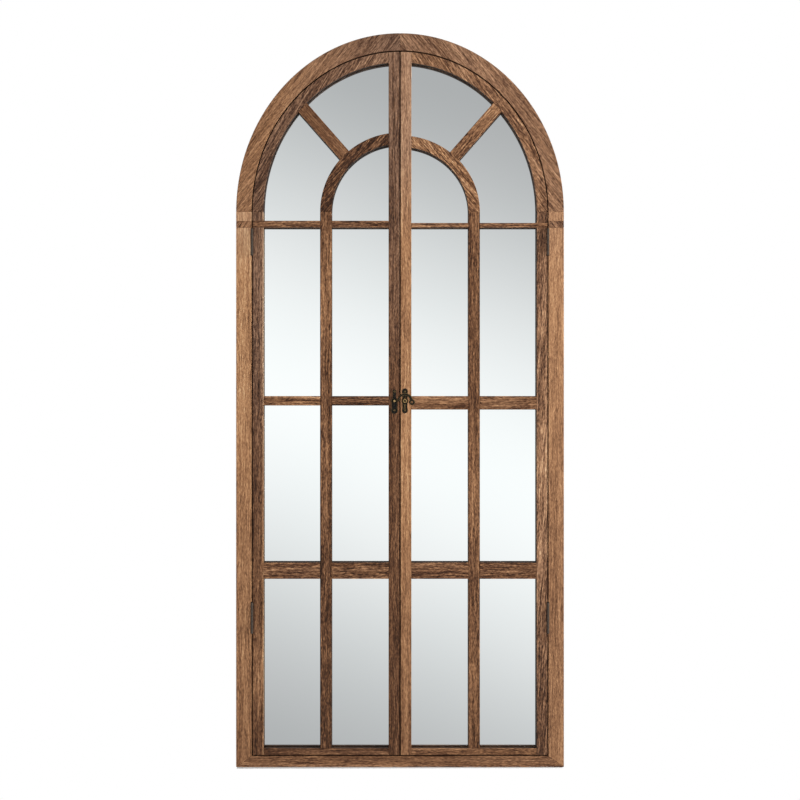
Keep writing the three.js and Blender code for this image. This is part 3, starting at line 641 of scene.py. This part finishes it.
def buildLeaf(word, grains):
    side = -1 if word == "left" else 1
    rails = {name: span(f"{word}_{name}_rail", 2) for name in ("springing", "lock", "lower")}
    smallRise = high(f"{word}_small_arch", 2) - springing
    smallRise /= math.sqrt(1 - (paneInner / muntinTo) ** 2)
    innerRise = leafRise - leafShape["archRailWidth"]
    ring = muntinTo - muntinFrom
    sections = dict(
        hinge_stile=hingeStileSections(side, rails["springing"]),
        meeting_stile=meetingStileSections(side),
        muntin=muntinSections(side, rails.values()),
        arch_rail=bandSections(side, (leafOuter, leafRise), (paneOuter, innerRise)),
        small_arch=bandSections(side, (muntinTo, smallRise), (muntinFrom, smallRise - ring)),
        radial_bar=radialBarSections(side, smallRise),
        bottom_rail=boxSections(side, (paneInner, paneOuter), (frontY, leafBackY),
                                (leafBottom, leafBottomRailTop)),
        springing_rail=railSections(side, rails["springing"], overStile=True),
        lock_rail=railSections(side, rails["lock"]),
        lower_rail=railSections(side, rails["lower"]),
    )
    for part, grain in grains.items():
        node = f"{word}_leaf_bottom_rail" if part == "bottom_rail" else f"{word}_{part}"
        slotName = leafSlots.get(part, leafSlots.get(node, "middle_wood"))
        timber(word + part.title().replace("_", ""), word + "_leaf", node, slotName, sections[part], grain)


for word, grains in leafGrain.items():
    buildLeaf(word, grains)
print("leaves built")


# Glass, board and metal

glassLook = dict(
    hazePerMetre=3.0,  # of about 330 mm
    roughest=0.015,
)
boardLook = dict(
    blotchesPerMetre=9,  # of about 110 mm
    fibresPerMetre=260,  # of about 4 mm
    fibreShare=0.3,  # in the colour
    fibreHeight=0.2 * mm,
    fibreStrength=0.4,
    roughness=0.78,
    headRise=0.5 * mm,  # how far the screw heads stand out of the board
    headRadius=3.4 * mm,
    inset=10 * mm,  # from the board's edge to its screws
    spacing=150 * mm,
    hangerRoom=45 * mm,
    edge=0.5 * mm,
)
metalLook = dict(
    patchesPerMetre=260,  # worn patches of about 4 mm
    specksPerMetre=1400,  # of about 0.7 mm
    speckHeight=0.05 * mm,
    speckStrength=0.25,
    bareRange=(0.5, 0.75),  # the patches' noise levels where the patina starts to wear through and is gone
    speckRange=(0.3, 0.7),  # the specks' noise levels where the metal is smoothest and roughest
    smoother=0.08,
    rougher=0.1,
    sheen=0.25,
    screwSteps=20,
)


def silveredGlass():
    # float glass silvered on its back: almost perfectly flat and smooth, with hardly any tint of its own,
    # and a faint slow haze
    material, add = newMaterial("silveredGlass")
    place = add("TexCoord").outputs["Object"]
    haze = add("TexNoise", {"Vector": place, "Scale": glassLook["hazePerMetre"], "Detail": 1.0})
    tint = add("ValToRGB", haze, stops=[(0.3, "#fefefe"), (0.7, "#fcfdfd")])
    rough = add("MapRange", haze, 0, 1, 0, glassLook["roughest"])
    return finishMaterial(material, add("BsdfPrincipled", {
        "Base Color": tint, "Roughness": rough, "Metallic": 1.0}))


def hardboard():
    # pressed wood fibre: a dull mottled brown with short fibres lying in all directions
    look = boardLook
    material, add = newMaterial("hardboard")
    place = add("TexCoord").outputs["Object"]
    blotch = add("TexNoise", {"Vector": place, "Scale": look["blotchesPerMetre"], "Detail": 4.0})
    fibre = add("TexNoise", {"Vector": place, "Scale": look["fibresPerMetre"], "Detail": 3.0})
    both = add("Math", blotch, look["fibreShare"], fibre, operation="MULTIPLY_ADD")
    colour = add("ValToRGB", both, stops=[(0.4, "#5f4433"), (0.9, "#82624a")])
    bump = add("Bump", {
        "Height": fibre, "Strength": look["fibreStrength"], "Distance": look["fibreHeight"]})
    return finishMaterial(material, add("BsdfPrincipled", {
        "Base Color": colour, "Roughness": look["roughness"], "Normal": bump}))


def agedMetal(name, darkHex, bareHex, metallic, roughness, bareShare):
    # darkened metal: a brown-black patina that has worn through to bare metal in patches and on raised rims;
    # the piece's bare-metal attribute also gives painted highlight on the hinge knuckles and painted glint
    # on the latch screws
    look = metalLook
    material, add = newMaterial(name)
    place = add("TexCoord").outputs["Object"]
    wear = add("Attribute", attribute_name="wear").outputs["Fac"]
    patch = add("TexNoise", {"Vector": place, "Scale": look["patchesPerMetre"], "Detail": 4.0})
    speck = add("TexNoise", {"Vector": place, "Scale": look["specksPerMetre"], "Detail": 2.0})
    share = add("MapRange", patch, *look["bareRange"], 0, bareShare)
    # bare metal: worn rims and patches, and on the knuckles and latch screws also painted highlight and
    # glint
    total = add("Math", share, wear, operation="ADD", use_clamp=True)
    dark, bare = linearColour(darkHex), linearColour(bareHex)
    colour = add("Mix", {"Factor": total, 6: dark, 7: bare}, data_type="RGBA")
    rough = add("MapRange", speck, *look["speckRange"], roughness - look["smoother"],
                roughness + look["rougher"])
    bump = add("Bump", {
        "Height": speck, "Strength": look["speckStrength"], "Distance": look["speckHeight"]})
    return finishMaterial(material, add("BsdfPrincipled", {
        "Base Color": colour.outputs[2], "Roughness": rough, "Metallic": metallic, "Normal": bump,
        "Specular IOR Level": look["sheen"]}))


glassMaterial = silveredGlass()
boardMaterial = hardboard()
metals = dict(
    aged_brass=agedMetal("patinatedBrass", "#100e0c", "#a98c5c", 0.35, 0.32, 0.1),
    aged_steel=agedMetal("brownedSteel", "#26190f", "#776d64", 0.15, 0.42, 0.25),
)


def paint(nodeName, material):
    mesh = nodes[nodeName].data
    mesh.materials.clear()
    mesh.materials.append(material)


paint("mirror_glass", glassMaterial)
for nodeName in nodes:
    if "hanger" in nodeName:
        paint(nodeName, metals["aged_steel"])


def turnedShell(profile, centre, axis, steps, wear=0.0, closed=False):
    # profile is (distance from the axis, height along it) pairs turned once round the axis through the
    # centre: a point is centre + distance * (cos a * one way + sin a * the other) + height * axis
    axis = np.array(axis, float)
    one = np.roll(axis, 1)
    other = np.cross(axis, one)
    turn = np.linspace(0, 2 * np.pi, steps, endpoint=False)[:, None]
    distance, height = np.array(profile, float).T[:, :, None, None]
    shape = distance * (np.cos(turn) * one + np.sin(turn) * other) + height * axis + np.array(centre, float)
    return carriedShell(shape, closed, np.reshape(wear, (-1, 1)))


def metalPiece(name, shells, body, slotName, replaced=(), sharp=40):
    mesh = shellMesh(name, shells)
    mesh.set_sharp_from_angle(angle=math.radians(sharp))
    return newPiece(name, mesh, body, metals[slotName], replaced)


def screwShell(centre, axis, radius, rise, wear=0.5):
    # a low dome with a round recess in its middle: shares of its radius and rise, turned round its axis
    share = np.array([1, 1, 0.93, 0.8, 0.6, 0.36, 0.3, 0.01])
    level = np.array([-2, 0, 0.4, 0.75, 0.95, 1.0, 0.2, 0.2])
    return turnedShell(np.column_stack([share * radius, level * rise]), centre, axis,
                       metalLook["screwSteps"], wear * np.array([0, 1, 1, 1, 1, 1, 0, 0]))


def boardMesh():
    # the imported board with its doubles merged, its back moved in by the height of the screw heads
    mesh = bpy.data.meshes.new("backBoard")
    work = bmesh.new()
    work.from_mesh(nodes["backing_board"].data)
    bmesh.ops.remove_doubles(work, verts=work.verts, dist=1e-5)
    bmesh.ops.dissolve_limit(work, angle_limit=math.radians(1), verts=work.verts, edges=work.edges)
    work.to_mesh(mesh)
    work.free()
    points = meshPoints(mesh)
    points[:, 1] = np.minimum(points[:, 1], high("backing_board", 1) - boardLook["headRise"])
    mesh.vertices.foreach_set("co", points.astype(np.float32).ravel())
    tidyMesh(mesh)
    return mesh


def boardScrews():
    # evenly spaced along a line inside the board's edge: up one side, over the ellipse, down and back
    look = boardLook
    boardLow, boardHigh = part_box("backing_board")
    half = boardHigh[0] - look["inset"]
    bottom = boardLow[2] + look["inset"]
    rise = boardHigh[2] - springing - look["inset"]
    turn = np.linspace(0, np.pi, 181)
    x = np.concatenate([[half], half * np.cos(turn), [-half, half]])
    z = np.concatenate([[bottom], springing + rise * np.sin(turn), [bottom, bottom]])
    length = np.concatenate([[0], np.cumsum(np.hypot(np.diff(x), np.diff(z)))])
    count = round(length[-1] / look["spacing"])
    places = (np.arange(count) + 0.5) * length[-1] / count
    y = np.full(count, boardHigh[1] - look["headRise"])
    centres = np.column_stack([np.interp(places, length, x), y, np.interp(places, length, z)])
    hanger = abs(middle("right_hanger_plate", 0)), middle("right_hanger_plate", 2)
    room = np.hypot(np.abs(centres[:, 0]) - hanger[0], centres[:, 2] - hanger[1])
    return [screwShell(centre, (0, 1, 0), look["headRadius"], look["headRise"])
            for centre in centres[room > look["hangerRoom"]]]


board = newPiece("backBoard", boardMesh(), "frame", boardMaterial, ["backing_board"])
easeEdges(board, boardLook["edge"], 1)
metalPiece("boardScrews", boardScrews(), "frame", "aged_steel")
print("glass and back board finished")


# Hinges

hingeLook = dict(
    plate=1.6 * mm,
    knuckles=5,
    knuckleRadius=3 * mm,
    knuckleEase=0.4 * mm,
    knuckleGap=0.3 * mm,
    # bare metal on the knuckles, along their height: partly wear, partly a painted highlight that lightens
    # their outer faces all round
    knuckleWearAndHighlight=[0, 0.2, 0.3, 0.3, 0.2, 0],
    bore=1.25 * mm,
    turnSteps=28,
    pinRadius=1.1 * mm,
    pinHead=[(1, 0.1), (1, 0.5), (0.8, 0.8), (0.4, 1), (0.01, 1)],  # shares of its radius and of its rise
    screwRadius=2.6 * mm,
    screwRise=0.3 * mm,
    screwDepths=(4.5 * mm, 9.5 * mm, 4.5 * mm),  # from the frame's face
    screwMargin=12 * mm,  # from the plate's ends to the outer screws
)


def buildHinge(word, level):
    # two flat plates let into the wood, each with turned knuckles round an upright pin: the frame's are the
    # first, third and fifth
    look = hingeLook
    side = -1 if word == "left" else 1
    name, node = word + level.title(), f"{word}_{level}_"
    framePlate, pin = node + "frame_hinge_plate", node + "hinge_pin"
    (bottom, top), plateBack = span(framePlate, 2), high(framePlate, 1)
    axisPlace = (middle(pin, 0), middle(pin, 1), 0)
    step = (top - bottom) / look["knuckles"]
    bore, radius, ease = look["bore"], look["knuckleRadius"], look["knuckleEase"]
    heights = np.linspace(bottom + look["screwMargin"], top - look["screwMargin"], 3)
    upright = (axisPlace, (0, 0, 1), look["turnSteps"])
    for part, body, first, x, face, way in (
            ("frame", "frame", 0, (daylightHalf, daylightHalf + look["plate"]), daylightHalf, -side),
            ("leaf", word + "_leaf", 1, (leafOuter - look["plate"], leafOuter), leafOuter, side)):
        shells = [carriedShell(boxSections(side, x, (frontY, plateBack), (bottom, top)))]
        for base in bottom + step * np.arange(first, look["knuckles"], 2) + look["knuckleGap"] / 2:
            tip = base + step - look["knuckleGap"]
            profile = [(bore, base), (radius - ease, base), (radius, base + ease), (radius, tip - ease),
                       (radius - ease, tip), (bore, tip)]
            shells.append(turnedShell(profile, *upright, look["knuckleWearAndHighlight"], True))
            shells.append(carriedShell(boxSections(side, x, (axisPlace[1], frontY), (base, tip))))
        for depth, z in zip(look["screwDepths"], heights):
            centre = (side * face, frontY + depth, z)
            shells.append(screwShell(centre, (way, 0, 0), look["screwRadius"], look["screwRise"]))
        metalPiece(f"{name}{part.title()}Plate", shells, body, "aged_steel", [f"{node}{part}_hinge_plate"])
    head = (high(pin, 0) - low(pin, 0)) / 2
    rise = high(pin, 2) - top
    profile = [(look["pinHead"][-1][0] * head, low(pin, 2)), (look["pinRadius"], low(pin, 2)),
               (look["pinRadius"], top + look["pinHead"][0][1] * rise)]
    profile += [(share * head, top + level * rise) for share, level in look["pinHead"]]
    metalPiece(name + "Pin", [turnedShell(profile, *upright)], "frame", "aged_steel", [pin])


for word in ("left", "right"):
    for level in ("upper", "lower"):
        buildHinge(word, level)
print("hinges built")


# Hook latch

latchLook = dict(
    discRadius=8.3 * mm,
    lobeDistance=23 * mm,  # from the latch's middle to each lobe's
    keeper=dict(topLobe=5 * mm, lowLobe=8.6 * mm, topNeck=4 * mm, lowNeck=7 * mm),  # necks by half
    hook=dict(topLobe=7.6 * mm, lowLobe=7.2 * mm, topNeck=6.2 * mm, lowNeck=6.2 * mm),
    plateSteps=90,
    plateEnd=0.04,  # the angle, of the half turn from end to end, at which the first station stands
    studSteps=32,
    barSteps=14,  # round a bar's section
    arcSteps=40,
    hornSteps=16,
    loopSteps=48,
    rimHeight=0.4 * mm,
    screwRadius=2.6 * mm,
    screwRise=0.9 * mm,
    # how far the screw heads turn to bare brass: partly wear, partly painted glint
    screwWearAndGlint=0.35,
    studDepth=12 * mm,  # how far the pivot and the keeper's post reach into the wood
    # of both studs: radius and depth behind the pivot's front in mm, and wear
    pivot=[(2.4, 1.6, 0), (4.6, 1.6, 0.3), (4.6, 0.5, 0.9), (4.2, 0, 1), (3.2, 0, 1), (2.6, 0.7, 0.1),
           (0.02, 0.8, 0)],
    post=[(2.6, 1.6, 0), (3.7, 1.6, 0), (3.7, 0.6, 0), (3.3, 0.3, 0), (2.6, 0.3, 0.3), (2.4, 0, 1),
          (1.2, 0, 1), (0.02, 0, 1)],
    arcRadius=16 * mm,  # of the hook's middle line round its pivot
    barHalf=(4.2 * mm, 2.6 * mm),  # half the bar's width across the curve, at the thumb ring and at the tip
    neckHalf=1.5 * mm,
    neckLap=1 * mm,  # how far the keeper's neck runs on into its horn
    eyeRadius=4.1 * mm,  # middle line of the hook's eye
    eyeHalf=1.5 * mm,
    tailAngle=-9.5,
    ringRadius=4.7 * mm,
    ringHalf=2.5 * mm,
    ringReach=1.5 * mm,  # from the arc's middle line out to the ring's middle
    ringWear=0.45,
    gap=0.4 * mm,  # from the middle of the leaves' gap to the tip of the hook and of the keeper's horn
    loopRadius=2 * mm,  # middle line of the raised loop's round ends
    loopHalf=1.3 * mm,
    loopLength=7.5 * mm,
    loopDrop=9.7 * mm,  # from the pivot down to the loop's upper end
    loopDepth=0.9 * mm,
    loopWear=0.95,
)
latchZ = middle("hook_pivot", 2)
latchX = dict(keeper=middle("keeper_plate", 0), hook=middle("hook_plate", 0))
plateFront = low("keeper_plate", 1)
hookY = middle("latch_hook", 1)
barDepth = (high("latch_hook", 1) - low("latch_hook", 1)) / 2
headFront = low("hook_pivot", 1)


def plateShell(word):
    # stations up the plate, as wide as the widest of its disc, its lobes and their necks there,
    # half = sqrt(radius^2 - (z - centre)^2); across the front the rim stands up round a flat middle
    look = latchLook
    lobes = look[word]
    centres = latchZ + look["lobeDistance"] * np.array([-1, 0, 1])
    radii = np.array([lobes["lowLobe"], look["discRadius"], lobes["topLobe"]])
    bottom, top = centres[0] - radii[0], centres[2] + radii[2]
    turn = np.linspace(look["plateEnd"], np.pi - look["plateEnd"], look["plateSteps"])
    z = bottom + (top - bottom) * (1 - np.cos(turn)) / 2
    half = np.sqrt(np.maximum(radii ** 2 - (z[:, None] - centres) ** 2, 0)).max(1)
    neck = np.where(z < latchZ, lobes["lowNeck"], lobes["topNeck"])
    half = np.where((z > centres[0]) & (z < centres[2]), np.maximum(half, neck), half)
    across = np.array([-1, -1, -0.96, -0.9, -0.82, 0, 0.82, 0.9, 0.96, 1, 1])
    level = np.array([-1, 0.3, 0.85, 1, 0, 0, 0, 1, 0.85, 0.3, -1])
    rim = np.array([0, 0.05, 0.22, 0.22, 0, 0, 0, 0.22, 0.22, 0.05, 0])
    back = high("keeper_plate", 1)
    y = np.where(level < 0, back, plateFront + look["rimHeight"] * (1 - level))
    x = latchX[word] + half[:, None] * across
    shape = np.stack([x, np.broadcast_to(y, x.shape), np.broadcast_to(z[:, None], x.shape)], axis=-1)
    return carriedShell(shape, wear=rim)


def studShell(word, x):
    # a turned stud with a shank that reaches into the wood: its profile turned round the Y axis
    radius, depth, wear = np.array(latchLook[word]).T
    height = -np.concatenate([[frontY + latchLook["studDepth"]], headFront + depth * mm])
    radius = np.concatenate([radius[:1], radius]) * mm
    profile = np.column_stack([radius, height])
    return turnedShell(profile, (x, 0, latchZ), (0, -1, 0), latchLook["studSteps"], [0, *wear])


def barShell(x, z, normal, half, depth, y=hookY, closed=False, wear=0.5, inner=0.0):
    # a bar carried along a path in the plane of the latch: a point is path + half * cos a * normal +
    # depth * sin a * the way to the back; it is worn bright on its two edges, by wear, and on its inner one,
    # by inner
    turn = np.linspace(0, 2 * np.pi, latchLook["barSteps"], endpoint=False)
    reach = half * np.cos(turn) * np.ones((len(x), 1))
    shape = np.stack([x[:, None] + reach * normal[0][:, None],
                      np.broadcast_to(y + depth * np.sin(turn), reach.shape),
                      z[:, None] + reach * normal[1][:, None]], axis=-1)
    bright = wear * np.abs(np.cos(turn)) ** 3 + inner * np.maximum(-np.cos(turn), 0)
    return carriedShell(shape, closed, bright)


def arcShell(centre, radius, fromAngle, toAngle, half, depth, steps=latchLook["arcSteps"], **settings):
    # a bar along an arc: its path is centre + radius * (cos a, sin a), and its normal (cos a, sin a)
    closed = settings.get("closed", False)
    turn = np.radians(np.linspace(fromAngle, toAngle, steps, endpoint=not closed))
    normal = (np.cos(turn), np.sin(turn))
    x, z = centre[0] + radius * normal[0], centre[1] + radius * normal[1]
    return barShell(x, z, normal, half, depth, **settings)


def loopShell():
    # a bar along an oblong: an arc's path with its upper half moved up by the loop's length
    look = latchLook
    turn = np.radians(np.linspace(0, 360, look["loopSteps"], endpoint=False))
    normal = (np.cos(turn), np.sin(turn))
    lower = latchZ - look["loopDrop"] - look["loopLength"]
    z = lower + look["loopLength"] * (normal[1] > 0) + look["loopRadius"] * normal[1]
    x = latchX["hook"] + look["loopRadius"] * normal[0]
    return barShell(x, z, normal, look["loopHalf"], look["loopDepth"], y=plateFront, closed=True, wear=0.0,
                    inner=look["loopWear"])


def buildLatch():
    look = latchLook
    radius = look["arcRadius"]
    pivot = (latchX["hook"], latchZ)
    for word, body in (("keeper", "left_leaf"), ("hook", "right_leaf")):
        shells = [plateShell(word)] + ([loopShell()] if word == "hook" else [])
        metalPiece(word + "Plate", shells, body, "aged_brass", [word + "_plate"], 50)
        rise = look["screwRise"] + look["rimHeight"]
        for number, way in ((1, -1), (2, 1)):
            centre = (latchX[word], plateFront + look["rimHeight"], latchZ + way * look["lobeDistance"])
            screw = screwShell(centre, (0, -1, 0), look["screwRadius"], rise, look["screwWearAndGlint"])
            metalPiece(f"{word}PlateScrew{number}", [screw], body, "aged_brass",
                       [f"{word}_plate_screw_{number}"])
    metalPiece("hookPivot", [studShell("pivot", pivot[0])], "right_leaf", "aged_brass", ["hook_pivot"])
    tip, hornFrom = np.degrees(np.arccos((np.array([1, -1]) * look["gap"] - pivot[0]) / radius))
    footX = np.linspace(latchX["keeper"], pivot[0] - radius + look["neckLap"], 4)
    metalPiece("keeperCatch", [
        studShell("post", latchX["keeper"]),
        arcShell(pivot, radius, hornFrom, 180, look["barHalf"][1], barDepth, look["hornSteps"]),
        barShell(footX, np.full(4, latchZ), (np.zeros(4), np.ones(4)), look["neckHalf"], barDepth),
    ], "left_leaf", "aged_brass", ["keeper_catch"])
    ringAngle = math.radians(look["tailAngle"])
    ringReach = radius + look["ringReach"]
    ringCentre = (pivot[0] + ringReach * math.cos(ringAngle), pivot[1] + ringReach * math.sin(ringAngle))
    tail = look["tailAngle"] + math.degrees(look["ringRadius"] / radius)
    barHalf = np.linspace(*look["barHalf"], look["arcSteps"])[:, None]
    neckZ = np.linspace(latchZ + look["eyeRadius"], latchZ + radius, 5)
    metalPiece("latchHook", [
        arcShell(pivot, radius, tail, tip, barHalf, barDepth),
        barShell(np.full(5, pivot[0]), neckZ, (np.ones(5), np.zeros(5)), look["neckHalf"], barDepth),
        arcShell(pivot, look["eyeRadius"], 0, 360, look["eyeHalf"], barDepth, closed=True),
        arcShell(ringCentre, look["ringRadius"], 0, 360, look["ringHalf"], barDepth, closed=True,
                 wear=look["ringWear"]),
    ], "latch_hook", "aged_brass", ["latch_hook"])


buildLatch()
print("latch built")


# Studio

studio = dict(
    cameraDistance=3.6,
    cameraHeight=0.9003,
    lens=66.06,
    sensorWidth=36.0,
    clip=(0.05, 100),
    skyLight=0.13,
    skyLowest=0.1,  # its share from below
    skyRise=(-0.3, 0.6),  # the heights of the direction between which it grows
    bandTilt=0.37,  # the band that the mirror shows drops this much for each unit to the right
    bandDrop=0.026,
    bandStops=[(0.0, "#fbffff"), (0.265, "#acafb0")],  # distance from its middle, and colour
    lamps=dict(frontLamp=((0.7, -4.2, 1.1), 1.6, 150.0),  # place, size and power
               sideLamp=((3.1, -0.55, 2.1), 0.9, 120.0),
               backLamp=((-0.9, 3.2, 1.5), 1.6, 60.0)),
    lampTarget=(0, 0, 0.9),
    floorCorners=[(-30, -30, 0), (30, -30, 0), (30, 40, 0), (-30, 40, 0)],
    floorHex="#d6d6d6",
    floorBounce=(0.3, 0.3, 0.3, 1),  # the grey that the floor throws back up at the object
    shadowReach=8 * mm,  # how far in front of the base the floor takes its shadow, in the middle
    shadowSlope=-0.008,  # and how much that changes for each metre to the right
    shadowFade=7 * mm,
    sideFade=6.0,  # how much faster it fades past the object's sides, from a little inside them
    sideLead=30 * mm,
)
white = (1, 1, 1, 1)


def buildWorld():
    # white to the camera, a soft sky to matt surfaces, and to the mirror a pale band that falls off to
    # grey above and below, as a lit studio wall does: its colour eases from one to the other, s^2 (3 - 2 s),
    # with the distance |z + a x + b| of the direction from the band's middle
    world = bpy.data.worlds.new("studioWorld")
    bpy.context.scene.world = world
    add = emptyNodes(world)
    parts = add("SeparateXYZ", add("TexCoord").outputs["Generated"])
    tilt = add("Math", parts.outputs["X"], studio["bandTilt"], studio["bandDrop"], operation="MULTIPLY_ADD")
    distance = add("Math", add("Math", parts.outputs["Z"], tilt), operation="ABSOLUTE")
    band = add("ValToRGB", distance, stops=studio["bandStops"])
    band.color_ramp.interpolation = "EASE"
    up = add("MapRange", parts.outputs["Z"], *studio["skyRise"], studio["skyLowest"] * studio["skyLight"],
             studio["skyLight"])
    rays = add("LightPath")
    glossy = add("MixShader", rays.outputs["Is Glossy Ray"], add("Background", white, up),
                 add("Background", band, 1.0))
    seen = add("MixShader", rays.outputs["Is Camera Ray"], glossy, add("Background", white, 1.0))
    add("OutputWorld", seen)


def buildFloor():
    # a plain pale floor, white to the camera except for the object's soft shadow close round its base: the
    # share that takes light falls with the distance from the base
    mesh = bpy.data.meshes.new("floor")
    mesh.from_pydata(np.array(studio["floorCorners"], float), [], [(0, 1, 2, 3)])
    floor = newObject("floor", mesh)
    material, add = newMaterial("paleFloor")
    place = add("TexCoord").outputs["Object"]
    ways = add("SeparateXYZ", place)
    away = add("SeparateXYZ", add("VectorMath", place, operation="ABSOLUTE"))
    sideStart = studio["sideLead"] - studio["sideFade"] * outerHalf
    past = add("Math", away.outputs["X"], studio["sideFade"], sideStart, operation="MULTIPLY_ADD")
    ahead = add("Math", away.outputs["Y"], -frontY, operation="SUBTRACT")
    outside = add("Math", past, ahead, operation="MAXIMUM")
    edge = add("Math", ways.outputs["X"], studio["shadowSlope"], studio["shadowReach"],
               operation="MULTIPLY_ADD")
    end = add("Math", edge, studio["shadowFade"])
    share = add("MapRange", outside, edge, end, 1, 0, interpolation_type="SMOOTHSTEP")
    pale = add("BsdfDiffuse", linearColour(studio["floorHex"]))
    dull = add("BsdfDiffuse", studio["floorBounce"])
    seen = add("MixShader", share, add("Emission", white, 1.0), pale)
    both = add("MixShader", add("LightPath").outputs["Is Camera Ray"], dull, seen)
    mesh.materials.append(finishMaterial(material, both))
    floor.visible_glossy = False


def addLamp(name, place, extent, power):
    data = bpy.data.lights.new(name, "AREA")
    data.shape = "SQUARE"
    data.size = extent
    data.energy = power
    lamp = newObject(name, data)
    lamp.location = place
    way = Vector(studio["lampTarget"]) - Vector(place)
    lamp.rotation_euler = way.to_track_quat("-Z", "Y").to_euler()
    lamp.visible_glossy = False


def buildCamera():
    data = bpy.data.cameras.new("camera")
    data.lens = studio["lens"]
    data.sensor_width = studio["sensorWidth"]
    data.clip_start, data.clip_end = studio["clip"]
    camera = newObject("camera", data)
    camera.location = (0.0, frontY - studio["cameraDistance"], studio["cameraHeight"])
    camera.rotation_euler = (math.radians(90), 0, 0)
    bpy.context.scene.camera = camera


buildWorld()
buildFloor()
for name, (place, extent, power) in studio["lamps"].items():
    addLamp(name, place, extent, power)
buildCamera()
bpy.context.scene.view_settings.view_transform = "Standard"
print("studio ready")
